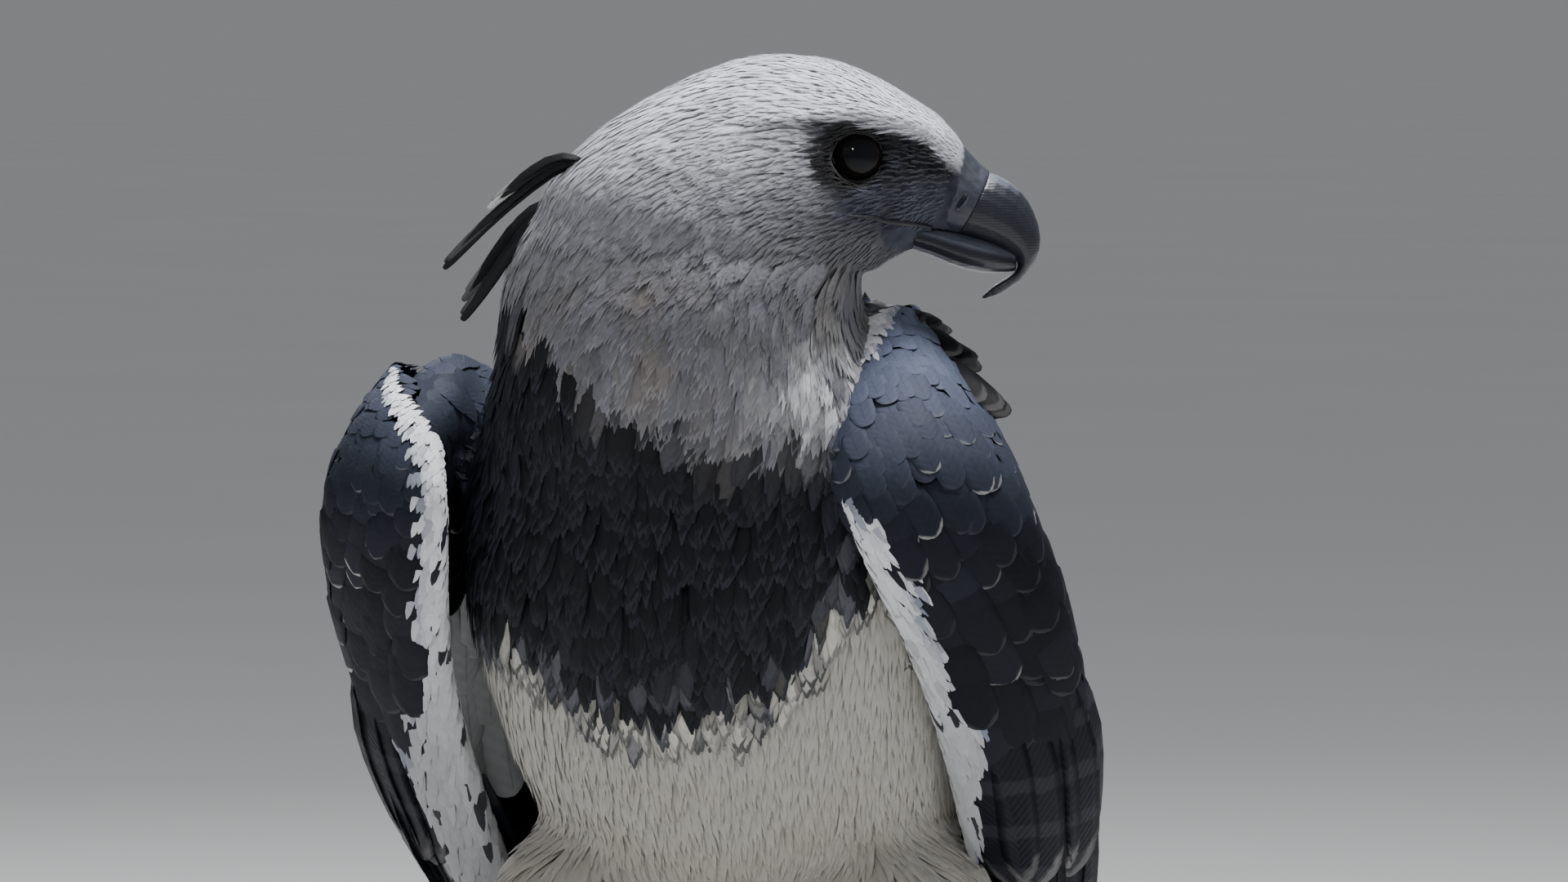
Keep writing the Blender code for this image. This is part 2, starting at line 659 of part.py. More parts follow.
def crest_node(head, neck):
    """The divided crest: an upper and a lower lobe of long feathers from a pad down the nape."""
    ahead, side = head_axes()
    up = np.array([0, 0, 1.0])
    pad_line = [head_point(f, u) for f, u in CREST_PAD]
    pad = tube("crest", pad_line, CREST_PAD_RADII, "bib", 10)
    feathers = []
    for line, left in CREST_LOBES:
        line = np.asarray(line)
        down = line[-1] - line[0]
        down = down / np.linalg.norm(down)
        rise = np.array([down[1], -down[0]])
        for k in range(CREST_FEATHERS):
            shrink = 1.0 - CREST_SHORTER * k
            fan = left * (1 + CREST_FAN * k)

            def spine(v, line=line, shrink=shrink, k=k, rise=rise):
                path = curve_at(line, v * (len(line) - 1) * shrink)
                return path + np.outer(np.minimum(1, 2 * v) * CREST_STEP * k, rise)

            def place(x, v, spine=spine, fan=fan, left=left):
                path = spine(v)
                apart = left + (fan - left) * np.minimum(1, 1.6 * v)
                base = np.array([head_point(f, u, w) for (f, u), w in zip(path, apart)])
                return base + np.outer(x * CREST_HALF, side * CREST_TILT[0] + up * CREST_TILT[1])

            def lift(x, v):
                return np.tile(up * CREST_TILT[0] - side * CREST_TILT[1], (len(v), 1))

            feathers.append(vane(f"crest_{len(feathers)}", place, lift, "bib", 6, CREST_VANE))
    combine(pad, feathers, "UNION")
    return cut_clear(pad, head, neck)


def head_parts():
    """Head, cere, bill and eyes."""
    sides = 24
    rows = [head_row(r) for r in HEAD]
    places = np.concatenate([stepped(0, 4, 6), stepped(4.6, 10, 11)])
    rings = [ring(r, sides, full=HEAD_FULL) for r in curve_at(rows, places)]
    head = loft("head", rings, "grey")
    ahead, side = head_axes()
    cuts, eyes, adds = [], [], []
    for name, left in (("eye_left", 1), ("eye_right", -1)):
        eye = ball(name, head_point(0.0, 0.0, EYE_DEPTH * left), [EYE_RADIUS] * 3, "eye", 8, 12)
        eyes.append(eye)
        brow = [head_point(f, u, w * left) for f, u, w in BROW]
        adds.append(tube("brow", brow, BROW_RADII, "grey", 8))
        lid_up, lid_out, lid_in = LID_PLACE
        turn = np.linspace(0, 2 * np.pi, 15)
        lid = [head_point(LID_REACH[0] * math.cos(a), LID_REACH[1] * math.sin(a) + lid_up,
                          (lid_out - lid_in * math.cos(a)) * left) for a in turn[:-1]]
        adds.append(closed_tube("lid", lid, LID_RADIUS, "bib", 6))
        pit_forward, pit_up, pit_out = PIT_PLACE
        pit = head_point(pit_forward, pit_up, (EYE_DEPTH + pit_out) * left)
        cuts.append(ball("pit", pit, PIT_RADII, "eye", 8, 12,
                         turn=np.array([ahead, side, [0, 0, 1]])))
    combine(head, cuts, "DIFFERENCE")
    combine(head, adds, "UNION")
    cut_clear(head, *eyes)
    gape_cut(head)
    cere_rings = [ring(r, 22, pear=CERE_PEAR, full=HEAD_FULL) for r in
                  curve_at([head_row(r) for r in CERE], stepped(0, 2, 4))]
    cere = loft("cere", shifted(cere_rings, GAP), "cere")
    nostrils(cere)
    hook_rings = [ring(r, 18, pear=BILL_PEAR, full=BILL_FULL) for r in
                  curve_at([head_row(r) for r in HOOK], stepped(0, 8, 14))]
    hook = loft("bill_upper", shifted(hook_rings, GAP), "horn")
    lower = mandible(head, cere, hook)
    return head, cere, hook, lower, eyes


def closed_tube(name, path, radius, finish, sides=8):
    """A round ring of tube through a closed path."""
    path = np.asarray(path)
    onward = np.roll(path, -1, axis=0) - np.roll(path, 1, axis=0)
    middle = path.mean(0)
    turn = np.linspace(0, 2 * np.pi, sides, endpoint=False)
    rings = []
    for point, along in zip(path, onward):
        along = along / np.linalg.norm(along)
        out = point - middle
        out -= along * (out @ along)
        out /= np.linalg.norm(out)
        up = np.cross(along, out)
        rings.append(point + radius * (np.outer(np.cos(turn), out) + np.outer(np.sin(turn), up)))
    rings = np.array(rings)
    count = len(rings)
    faces = [(i * sides + j, i * sides + (j + 1) % sides,
              (i + 1) % count * sides + (j + 1) % sides, (i + 1) % count * sides + j)
             for i in range(count) for j in range(sides)]
    return solid(name, rings.reshape(-1, 3), faces, finish)


def gape_cut(head):
    """The line of the mouth, from the corner under the eye forward to the cere."""
    surface = BVHTree.FromPolygons([v.co for v in head.data.vertices],
                                   [p.vertices for p in head.data.polygons])
    cutters = []
    for left in (1, -1):
        path = [surface.find_nearest(Vector(head_point(f, u, w * left)))[0] for f, u, w in GAPE]
        cutters.append(tube("gape", path, GAPE_RADII, "horn", 6))
    combine(head, cutters, "DIFFERENCE")


def nostrils(cere):
    """A slanting oval slit on each side of the cere."""
    cutters = []
    ahead, side = head_axes()
    tilt = math.radians(NOSTRIL_TILT)
    forward, rise, out = NOSTRIL
    long_axis = ahead * math.cos(tilt) + np.array([0, 0, 1]) * math.sin(tilt)
    short_axis = -ahead * math.sin(tilt) + np.array([0, 0, 1]) * math.cos(tilt)
    for left in (1, -1):
        cutters.append(ball("nostril", head_point(forward, rise, out * left),
                            NOSTRIL_RADII, "horn", 8, 12,
                            turn=np.array([long_axis, side, short_axis])))
    combine(cere, cutters, "DIFFERENCE")


def mandible(head, cere, hook):
    """The lower bill, let into the jaw and clear of the upper bill."""
    sides = 14
    ahead, side = head_axes()
    up = np.array([0, 0, 1.0])
    turn = np.linspace(0, 2 * np.pi, sides, endpoint=False)
    rings = []
    for forward, rise, deep, half in curve_at(MANDIBLE, stepped(0, 6, 10)):
        flat = np.cos(turn)
        rings.append(head_point(forward, rise) + np.outer(flat * deep, up)
                     + np.outer(np.sin(turn) * half, side))
    lower = loft("bill_lower", rings, "horn")
    return cut_clear(lower, head, cere, hook)


def trunk_and_neck():
    """Torso and neck, two lofts that face each other across a thin gap."""
    sides = 24
    trunk = [trunk_row(r) for r in TRUNK]
    neck = list(NECK) + [head_row(HEAD[0])]
    rows = trunk + neck
    cut = len(trunk) - 0.5
    torso_rings = [ring(r, sides, pear=TRUNK_PEAR, full=TRUNK_FULL) for r in
                   curve_at(rows, stepped(0, cut, 13))]
    neck_rings = [ring(r, sides, pear=NECK_PEAR, full=HEAD_FULL) for r in
                  curve_at(rows, stepped(cut, len(rows) - 1, 9))]
    neck_rings = shifted(neck_rings, GAP)
    neck_rings = shifted(neck_rings[::-1], GAP)
    return loft("torso", torso_rings, "white"), loft("neck", neck_rings, "grey")


def leg_row(side, row):
    """A leg row as a centre, yaw, half reach, half rise and half width."""
    x, y, z, half, deep = row
    return (x * side, y, z, 0.0, deep, 0.0, half)


def claw(name, start, heading, length, radius, foot):
    """A talon that leaves the toe, arches over and comes down to the floor."""
    turn = np.radians(np.linspace(*CLAW_TURN, 7))
    step = length / (len(turn) - 1)
    flat = np.concatenate([[0], np.cumsum(np.cos(turn[1:]) * step)])
    rise = np.concatenate([[0], np.cumsum(np.sin(turn[1:]) * step)])
    fit = (start[2] - CLAW_CLEAR) / -rise[-1]
    rise = rise * fit
    way = np.array([math.sin(heading), -math.cos(heading), 0])
    path = np.asarray(start) + np.outer(flat, way) + np.outer(rise, [0, 0, 1])
    radii = radius * (1 - (flat / flat[-1]) ** 1.3) + CLAW_TIP
    return cut_clear(tube(name, path, radii, "horn", 6), foot)


def foot_nodes(side, label):
    """The foot with its four toes on flat pads, and a claw for each toe."""
    x, y, z = ANKLE[0] * side, ANKLE[1], ANKLE[2]
    hub = ball(f"foot_{label}", (x, y, z - HUB_DROP), HUB, "skin", 8, 12)
    toes, claws = [], []
    for name, heading, length, radius, talon in TOES:
        angle = math.radians(heading) * side
        way = np.array([math.sin(angle), -math.cos(angle), 0])
        shares = np.linspace(0, 1, 7)
        radii = radius * (1.05 - TOE_TAPER * shares) * (1 + TOE_JOINTS * np.cos(shares * np.pi * 6))
        radii[-1] *= TOE_END
        path = np.array([x, y, 0]) + np.outer(shares * length, way)
        path[:, 2] = radii * PAD_FLAT + 0.0015 * np.sin(shares * np.pi)
        path[-1, 2] = radii[-2] * 0.95
        toes.append(tube(f"toe_{name}", path, radii, "skin", 7))
        start = path[-1] - way * 0.004 + np.array([0, 0, 0.0006])
        claws.append((name, start, angle, talon, radius * CLAW_SHARE))
    combine(hub, toes, "UNION")
    flatten(hub)
    talons = [claw(f"claw_{name}_{label}", start, angle, talon, radius, hub)
              for name, start, angle, talon, radius in claws]
    return hub, talons


def flatten(obj):
    """Cuts everything below the floor away, which leaves flat pads."""
    shape = bmesh.new()
    shape.from_mesh(obj.data)
    geometry = shape.verts[:] + shape.edges[:] + shape.faces[:]
    cut = bmesh.ops.bisect_plane(shape, geom=geometry, dist=1e-6, plane_co=(0, 0, 0),
                                 plane_no=(0, 0, -1), clear_outer=True)
    edges = [e for e in cut["geom_cut"] if isinstance(e, bmesh.types.BMEdge)]
    bmesh.ops.edgenet_fill(shape, edges=edges)
    bmesh.ops.triangulate(shape, faces=shape.faces)
    bmesh.ops.recalc_face_normals(shape, faces=shape.faces)
    shape.to_mesh(obj.data)
    shape.free()


def legs(torso):
    """Thighs, shanks, feet and claws of both sides. Returns the thighs by side."""
    thighs = {}
    for side, label in ((1, "left"), (-1, "right")):
        rows = curve_at([leg_row(side, r) for r in THIGH], stepped(0, 5, 9))
        thigh = loft(f"thigh_{label}", [ring(r, 18, full=HEAD_FULL) for r in rows], "white")
        foot, _ = foot_nodes(side, label)
        cut_clear(thigh, torso)
        rows = curve_at([leg_row(side, r) for r in SHANK], stepped(0, 4, 7))
        shank = loft(f"shank_{label}", [ring(r, 12) for r in rows], "skin")
        cut_clear(shank, thigh, foot)
        thighs[side] = thigh
    return thighs


def wings(torso, neck, head, thighs):
    """Both wings, each one body with its feathers, cut clear of what it lies against."""
    for side, label in ((1, "left"), (-1, "right")):
        core = wing_core(side, f"wing_{label}")
        combine(core, wing_feathers(side), "UNION")
        cut_clear(core, torso, neck, head, thighs[side])


def stand_on_origin():
    """Moves the model so that the middle of its box's underside is the origin."""
    low, high = np.full(3, 1e9), np.full(3, -1e9)
    for obj in MODEL.objects:
        points = np.array([v.co[:] for v in obj.data.vertices])
        low, high = np.minimum(low, points.min(0)), np.maximum(high, points.max(0))
    shift = -(low + high) / 2
    shift[2] = -low[2]
    for obj in MODEL.objects:
        for vertex in obj.data.vertices:
            vertex.co = np.array(vertex.co) + shift
        obj.data.shade_smooth()
        obj.data.set_sharp_from_angle(angle=math.radians(40))


for leftover in list(bpy.data.objects):
    bpy.data.objects.remove(leftover)
MODEL = bpy.data.collections.new("harpy_eagle")
bpy.context.scene.collection.children.link(MODEL)

torso_node, neck_node = trunk_and_neck()
head_node = head_parts()[0]
crest_node(head_node, neck_node)
thigh_nodes = legs(torso_node)
wings(torso_node, neck_node, head_node, thigh_nodes)
tail_node(torso_node)
stand_on_origin()
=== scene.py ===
"""A harpy eagle, life size, standing still with its head turned over its left shoulder."""
import math
from functools import partialmethod

import bmesh
import bpy
import numpy as np
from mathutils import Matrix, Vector
from mathutils.bvhtree import BVHTree
from mathutils.kdtree import KDTree


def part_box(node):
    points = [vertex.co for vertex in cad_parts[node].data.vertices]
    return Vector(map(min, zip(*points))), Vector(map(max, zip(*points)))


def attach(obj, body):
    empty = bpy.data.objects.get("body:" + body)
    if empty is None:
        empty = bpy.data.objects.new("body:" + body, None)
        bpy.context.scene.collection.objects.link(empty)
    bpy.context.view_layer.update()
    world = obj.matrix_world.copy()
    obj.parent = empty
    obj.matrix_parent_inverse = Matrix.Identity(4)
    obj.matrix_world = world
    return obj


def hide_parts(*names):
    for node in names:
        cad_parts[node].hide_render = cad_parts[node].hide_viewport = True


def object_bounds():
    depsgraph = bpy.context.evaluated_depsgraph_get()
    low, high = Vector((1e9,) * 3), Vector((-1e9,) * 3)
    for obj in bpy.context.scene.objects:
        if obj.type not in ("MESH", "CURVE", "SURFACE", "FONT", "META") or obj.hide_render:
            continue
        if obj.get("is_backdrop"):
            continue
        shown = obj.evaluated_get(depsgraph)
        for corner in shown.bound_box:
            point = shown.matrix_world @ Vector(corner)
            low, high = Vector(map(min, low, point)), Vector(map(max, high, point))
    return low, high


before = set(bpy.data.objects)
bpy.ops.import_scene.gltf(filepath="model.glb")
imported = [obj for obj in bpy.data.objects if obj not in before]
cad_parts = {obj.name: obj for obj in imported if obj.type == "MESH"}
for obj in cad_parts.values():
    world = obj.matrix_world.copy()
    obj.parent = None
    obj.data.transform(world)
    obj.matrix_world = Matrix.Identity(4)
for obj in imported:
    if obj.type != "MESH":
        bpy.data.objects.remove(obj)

cad_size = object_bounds()

# The head's own directions
# The head is turned well to the bird's left, so everything on it is measured from the
# point between its two eyes: forward along the bill, up, and to the bird's left.


def middle_of(node):
    """The middle of a CAD node's box."""
    return np.mean(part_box(node), axis=0)


between_eyes = (middle_of("eye_left") + middle_of("eye_right")) / 2
head_left = middle_of("eye_left") - middle_of("eye_right")
head_left[2] = 0
head_left /= np.linalg.norm(head_left)
head_ahead = np.array([head_left[1], -head_left[0], 0])
eye_reach = np.linalg.norm(middle_of("eye_left") - middle_of("eye_right")) / 2
up_axis = np.array([0, 0, 1.0])


def on_head(forward, up, left=0.0):
    """Places on the head, in metres from the point between the eyes."""
    forward, up, left = (np.asarray(value)[..., None] for value in (forward, up, left))
    return between_eyes + head_ahead * forward + up_axis * up + head_left * left


# The trunk was drawn round its own middle, this far from the model's origin.
trunk_place = between_eyes - np.array([0.0644, -0.0216, 0.6464])

# Floor, light and camera
# A plain pale floor under broad soft lights, the strongest from above as in an open
# aviary. The camera looks almost level at the breast, a little from the bird's left.


class Wire:
    """A shader socket that can be used in a sum. Each step adds its Math node."""

    def __init__(self, finish, socket):
        self.finish = finish
        self.socket = socket

    def maths(self, operation, *others):
        values = dict(enumerate((self, *others)))
        return self.finish.node("ShaderNodeMath", {"operation": operation}, values)

    __add__ = __radd__ = partialmethod(maths, "ADD")
    __sub__ = partialmethod(maths, "SUBTRACT")
    __rsub__ = partialmethod(maths, "MULTIPLY_ADD", -1.0)
    __mul__ = __rmul__ = partialmethod(maths, "MULTIPLY")
    __abs__ = partialmethod(maths, "ABSOLUTE")
    wave = partialmethod(maths, "SINE")

    def clamp(self):
        """The value kept between 0 and 1."""
        held = self.maths("ADD", 0.0)
        held.socket.node.use_clamp = True
        return held

    def other(self, output):
        """Another output of the same node."""
        return Wire(self.finish, self.socket.node.outputs[output])


class Finish:
    """One material, built node by node, and the slot of the pieces that wear it."""

    def __init__(self, name, slot=None, **values):
        self.slot = slot
        self.material = bpy.data.materials.new(name)
        self.material.use_nodes = True
        self.tree = self.material.node_tree
        self.shader = self.tree.nodes["Principled BSDF"]
        for key, value in values.items():
            self.shader.inputs[key.replace("_", " ")].default_value = value

    def node(self, kind, settings=None, values=None, output=0):
        """A node of that type with its settings, its socket values or links, and one output."""
        made = self.tree.nodes.new(kind)
        for key, value in (settings or {}).items():
            setattr(made, key, value)
        for key, value in (values or {}).items():
            if isinstance(value, Wire):
                self.tree.links.new(value.socket, made.inputs[key])
            else:
                made.inputs[key].default_value = value
        return Wire(self, made.outputs[output])

    def read(self, name, output="Fac"):
        """An attribute of the mesh."""
        return self.node("ShaderNodeAttribute", {"attribute_name": name}, output=output)

    def place(self):
        """Where the point is, in metres."""
        return self.node("ShaderNodeTexCoord", output="Object")

    def noise(self, scale, detail=3.0, where=None):
        """Soft noise, by default over the object's own place."""
        values = {"Vector": where or self.place(), "Scale": scale, "Detail": detail}
        return self.node("ShaderNodeTexNoise", None, values, "Fac")

    def vector(self, operation, values, output="Vector"):
        """A step of vector maths."""
        return self.node("ShaderNodeVectorMath", {"operation": operation}, values, output)

    def blend(self, share, first, second):
        """A colour between two others, by the Mix node's colour sockets."""
        first, second = (value if isinstance(value, Wire) else (*value, 1) for value in (first, second))
        return self.node("ShaderNodeMix", {"data_type": "RGBA"}, {0: share, 6: first, 7: second}, 2)

    def feed(self, **links):
        """Links values to the shader's sockets."""
        for key, value in links.items():
            self.tree.links.new(value.socket, self.shader.inputs[key.replace("_", " ")])

    def bump(self, height, strength, distance):
        """Raises the surface by a height between 0 and 1 times a distance in metres."""
        values = {"Height": height, "Strength": strength, "Distance": distance}
        self.feed(Normal=self.node("ShaderNodeBump", None, values, "Normal"))


def mesh_of(name, shape):
    """The smoothly shaded mesh of a finished shape."""
    mesh = bpy.data.meshes.new(name)
    shape.to_mesh(mesh)
    shape.free()
    mesh.shade_smooth()
    return mesh


paint = Finish("floor_paint", Roughness=0.85)
paint.feed(Base_Color=paint.blend(paint.noise(1.5), (0.78, 0.78, 0.77), (0.84, 0.84, 0.83)))
shape = bmesh.new()
bmesh.ops.create_circle(shape, cap_ends=True, segments=64, radius=400.0)
floor = bpy.data.objects.new("floor", mesh_of("floor", shape))
floor.data.materials.append(paint.material)
bpy.context.scene.collection.objects.link(floor)
floor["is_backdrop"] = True

world = bpy.data.worlds.new("studio")
world.use_nodes = True
sky = world.node_tree.nodes["Background"].inputs
sky["Color"].default_value = (0.86, 0.88, 0.92, 1)
sky["Strength"].default_value = 0.31
bpy.context.scene.world = world


def softbox(name, place, aim, size, power, tint=(1, 1, 1)):
    """A square area light that faces a point."""
    lamp = bpy.data.lights.new(name, "AREA")
    lamp.energy = power
    lamp.size = size
    lamp.color = tint
    made = bpy.data.objects.new(name, lamp)
    made.location = place
    made.rotation_euler = (Vector(aim) - Vector(place)).to_track_quat("-Z", "Y").to_euler()
    bpy.context.scene.collection.objects.link(made)


softbox("overhead", (0.45, -0.05, 2.50), (0, -0.05, 0.55), 0.9, 125)
softbox("front_fill", (-1.3, -3.4, 1.7), (0, -0.1, 0.5), 1.6, 3, (1, 0.98, 0.95))
softbox("glint", (0.25, -3.0, 2.0), (0.05, -0.2, 0.62), 0.28, 23)
softbox("back_edge", (-1.5, 2.2, 2.1), (0, 0, 0.5), 1.5, 28, (0.92, 0.96, 1))

camera_turn = math.radians(15)
camera_dip = math.radians(3)
camera_far = 4.0
frame_width = 0.686             # metres across the picture at the head
eye_right = middle_of("eye_right")
across_view = np.array([math.cos(camera_turn), math.sin(camera_turn), 0])
into_view = np.array([-math.sin(camera_turn), math.cos(camera_turn), 0])
target = (across_view * (eye_right @ across_view - 0.0307)
          + into_view * (eye_right @ into_view + 0.02) + up_axis * (eye_right[2] - 0.1254))
look = into_view * math.cos(camera_dip) - up_axis * math.sin(camera_dip)
camera_data = bpy.data.cameras.new("camera")
camera_data.sensor_width = 36
camera_data.lens = 36 * camera_far / frame_width
camera_data.clip_end = 900
camera = bpy.data.objects.new("camera", camera_data)
camera.location = target - look * camera_far
camera.rotation_euler = Vector(look).to_track_quat("-Z", "Y").to_euler()
bpy.context.scene.collection.objects.link(camera)
bpy.context.scene.camera = camera

# Skin
# One skin carries all the plumage. It joins the flesh of the head, neck, trunk, thighs,
# wings and tail root, and lies inside their outline by the depth of the feathers.

# Wing edges of the left wing, shoulder to tip, in the trunk's frame.
wing_front = ((0.094, -0.046, 0.558), (0.090, -0.097, 0.500), (0.106, -0.040, 0.415),
              (0.106, 0.050, 0.325), (0.096, 0.142, 0.245), (0.084, 0.262, 0.157))
wing_outer = ((0.112, -0.022, 0.570), (0.150, -0.055, 0.508), (0.160, 0.000, 0.430),
              (0.145, 0.075, 0.335), (0.112, 0.155, 0.258), (0.074, 0.266, 0.172))
wing_rear = ((0.076, 0.024, 0.566), (0.056, 0.062, 0.530), (0.028, 0.116, 0.460),
             (0.014, 0.162, 0.374), (0.013, 0.214, 0.296), (0.030, 0.280, 0.192))
wing_shrug = {1: (-0.028, 0.028, 0.010), -1: (0.026, 0.0, -0.016)}
wing_droop = {1: 0.0, -1: 0.010}
wing_thick = (0.046, 0.034, 0.020, 0.011, 0.007)
wing_core_end = 0.60            # share of the wing that flesh fills
skin_grain = 0.00285            # spacing of the skin's points


def between(before, first, second, after, share):
    """A smooth curve from the first value to the second, past those before and after."""
    return 0.5 * (2 * first + (second - before) * share
                  + (2 * before - 5 * first + 4 * second - after) * share**2
                  + (3 * first - before - 3 * second + after) * share**3)


def curve_at(rows, place):
    """Rows read at fractional indexes, on a smooth curve through them."""
    rows = np.asarray(rows, float)
    last = len(rows) - 1
    place = np.clip(np.atleast_1d(place), 0, last)
    low = np.minimum(place.astype(int), last - 1)
    share = (place - low).reshape((-1,) + (1,) * (rows.ndim - 1))
    return between(*(rows[np.clip(low + k, 0, last)] for k in (-1, 0, 1, 2)), share)


def unit(vectors):
    """Vectors of length one."""
    return vectors / np.maximum(np.linalg.norm(vectors, axis=-1), 1e-12)[..., None]


def wing_controls(side, t):
    """Eight points round the wing's section at share t of its length."""
    lines = np.array([wing_front, wing_outer, wing_rear], float)
    place = np.linspace(0, 1, lines.shape[1])
    lines += np.outer(np.clip(1 - place / 0.38, 0, 1) ** 1.5, wing_shrug[side])[None]
    lines[..., 0] += wing_droop[side] * np.clip((place - 0.15) / 0.3, 0, 1)
    lines[..., 0] *= side
    lines += trunk_place
    steps = lines.shape[1] - 1
    lead, outer, trail = (curve_at(line, t * steps) for line in lines)
    onward = sum(curve_at(line, np.clip(t + 0.01, 0, 1) * steps)
                 - curve_at(line, np.clip(t - 0.01, 0, 1) * steps) for line in lines)
    size = np.linalg.norm(outer - lead, axis=1) + np.linalg.norm(trail - outer, axis=1)
    size = np.minimum(size / 0.16, 1)[:, None]
    ahead = unit(np.cross(onward, outer - lead) * side)
    behind = unit(np.cross(onward, trail - outer) * side)
    front = (lead + outer) / 2 + ahead * 0.012 * size
    rear = (outer + trail) / 2 + behind * 0.020 * size
    thick = curve_at(np.array(wing_thick)[:, None], t * (len(wing_thick) - 1)) * size
    return np.stack([lead, front, outer, rear, trail, rear - behind * thick * 0.8,
                     outer - unit(ahead + behind) * thick * 1.15, front - ahead * thick * 0.7], axis=1)


def wing_point(side, s, t):
    """A point of the wing: s runs 0 to 1 over the outside, front to back, and on to 2 inside."""
    s, t = np.broadcast_arrays(np.asarray(s, float), np.asarray(t, float))
    form = s.shape
    s = np.mod(s.ravel(), 2) * 4
    controls = wing_controls(side, np.clip(t.ravel(), 0, 1))
    low = np.floor(s).astype(int)
    pick = np.arange(len(s))
    point = between(*(controls[pick, (low + k) % 8] for k in (-1, 0, 1, 2)), (s - low)[:, None])
    return point.reshape(form + (3,))


def wing_out(side, s, t):
    """The outward direction of the wing's surface."""
    step = 0.006
    across = wing_point(side, s + step, t) - wing_point(side, s - step, t)
    down = wing_point(side, s, np.minimum(t + step, 1)) - wing_point(side, s, np.minimum(t, 1 - step) - step)
    return unit(np.cross(down, across) * side)


def closed_loft(rings, looped=False):
    """A tube through rings of equal count, as a bmesh. Its ends are capped, or joined if looped."""
    tube = bmesh.new()
    loops = []
    for ring in rings:
        points = [tube.verts.new(point) for point in ring]
        loops.append([tube.edges.new((a, b)) for a, b in zip(points, points[1:] + points[:1])])
    for first, second in zip(loops, loops[1:] + loops[:looped]):
        bmesh.ops.bridge_loops(tube, edges=first + second)
    for ends in () if looped else (loops[0], loops[-1]):
        bmesh.ops.contextual_create(tube, geom=ends)
    bmesh.ops.recalc_face_normals(tube, faces=tube.faces)
    return tube


def wing_flesh(side):
    """Arm and hand of one wing, as far as flesh fills it."""
    s = np.linspace(0, 2, 24, endpoint=False)
    rings = [wing_point(side, s, np.full(24, t)) for t in np.linspace(0, wing_core_end, 12)]
    middle = rings[0].mean(0)
    cap = unit(middle - rings[1].mean(0)) * 0.010
    return closed_loft([middle + (rings[0] - middle) * 0.6 + cap] + rings)


# Tail mid line from root to tip as (y, z), in the trunk's frame.
tail_line = ((0.150, 0.286), (0.235, 0.203), (0.330, 0.112), (0.415, 0.050), (0.482, 0.023))
tail_half = (0.030, 0.076)


def tail_at(s, t):
    """A point of the tail's upper face and its upward direction: s -1 to 1 across, t to the tip."""
    s, t = np.broadcast_arrays(np.asarray(s, float), np.asarray(t, float))
    form = s.shape
    s, t = s.ravel(), t.ravel()
    steps = len(tail_line) - 1
    line = curve_at(tail_line, t * steps)
    half = tail_half[0] + (tail_half[1] - tail_half[0]) * np.sqrt(np.clip(t, 0, 1))
    ahead = unit(curve_at(tail_line, np.clip(t + 0.02, 0, 1) * steps)
                 - curve_at(tail_line, np.clip(t - 0.02, 0, 1) * steps))
    up = np.stack([np.zeros(len(t)), -ahead[:, 1], ahead[:, 0]], axis=1)
    point = np.stack([s * half, line[:, 0], line[:, 1]], axis=1) - up * (0.010 * s**2)[:, None]
    return (point + trunk_place).reshape(form + (3,)), up.reshape(form + (3,))


def tail_flesh():
    """The root of the tail with its muscle and small coverts."""
    turn = np.linspace(0, 2 * np.pi, 20, endpoint=False)
    rings = []
    # place along the tail, half width and half depth
    for t, half, deep in ((0.0, 0.030, 0.014), (0.06, 0.040, 0.016), (0.14, 0.042, 0.013),
                          (0.24, 0.036, 0.006)):
        centre, up = tail_at(0.0, t)
        rings.append(centre - up * 0.006 + np.outer(np.cos(turn) * deep, up)
                     + np.outer(np.sin(turn) * half, [1.0, 0, 0]))
    return closed_loft(rings)


def flesh_copy(node, swell=0.0006):
    """A copy of a CAD node as a bmesh, swollen to close the gap to its neighbour."""
    copy = bmesh.new()
    copy.from_mesh(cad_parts[node].data)
    bmesh.ops.remove_doubles(copy, verts=copy.verts, dist=1e-6)
    copy.normal_update()
    for point in copy.verts:
        point.co += point.normal * swell
    return copy


def placed(name, mesh, finish, *nodes):
    """A piece at the origin, in its finish, that rides with the bird's one body."""
    made = bpy.data.objects.new(name, mesh)
    bpy.context.scene.collection.objects.link(made)
    mesh.materials.append(finish.material)
    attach(made, "root")
    if nodes:
        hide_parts(*nodes)
    return made


def remeshed(made, grain, passes):
    """Gives a piece one even mesh of that grain, smoothed in so many passes."""
    remesh = made.modifiers.new("even", "REMESH")
    remesh.mode = "VOXEL"
    remesh.voxel_size = grain
    eased(made, 0.5, passes)
    return settle(made)


def eased(made, factor, passes, group=""):
    """Smooths a piece, or the named part of it."""
    smooth = made.modifiers.new("ease", "SMOOTH")
    smooth.factor = factor
    smooth.iterations = passes
    smooth.vertex_group = group


def settle(made):
    """Applies the piece's modifiers to its mesh."""
    bpy.context.view_layer.update()
    seen = made.evaluated_get(bpy.context.evaluated_depsgraph_get())
    mesh = bpy.data.meshes.new_from_object(seen)
    made.modifiers.clear()
    made.data = mesh
    return mesh


def read(items, key, width=3, kind=float):
    """Values of a mesh's points, edges or faces, as an array."""
    values = np.empty(len(items) * width, kind)
    items.foreach_get(key, values)
    return values.reshape(-1, width)


def read_points(mesh):
    """The mesh's points and their outward directions."""
    return read(mesh.vertices, "co"), read(mesh.vertex_normals, "vector")


# The skin shows only between feathers, and wears their colours as down.
down = Finish("down", "plumage_pale", Roughness=0.9, Specular_IOR_Level=0.1)
down_noise = down.noise(900.0, 2.0)
down_tone = down_noise * 0.5 + 0.75
down.feed(Base_Color=down.vector("SCALE", {0: down.read("ground", "Color"), "Scale": down_tone}))
down.bump(down_noise, 0.6, 0.0004)

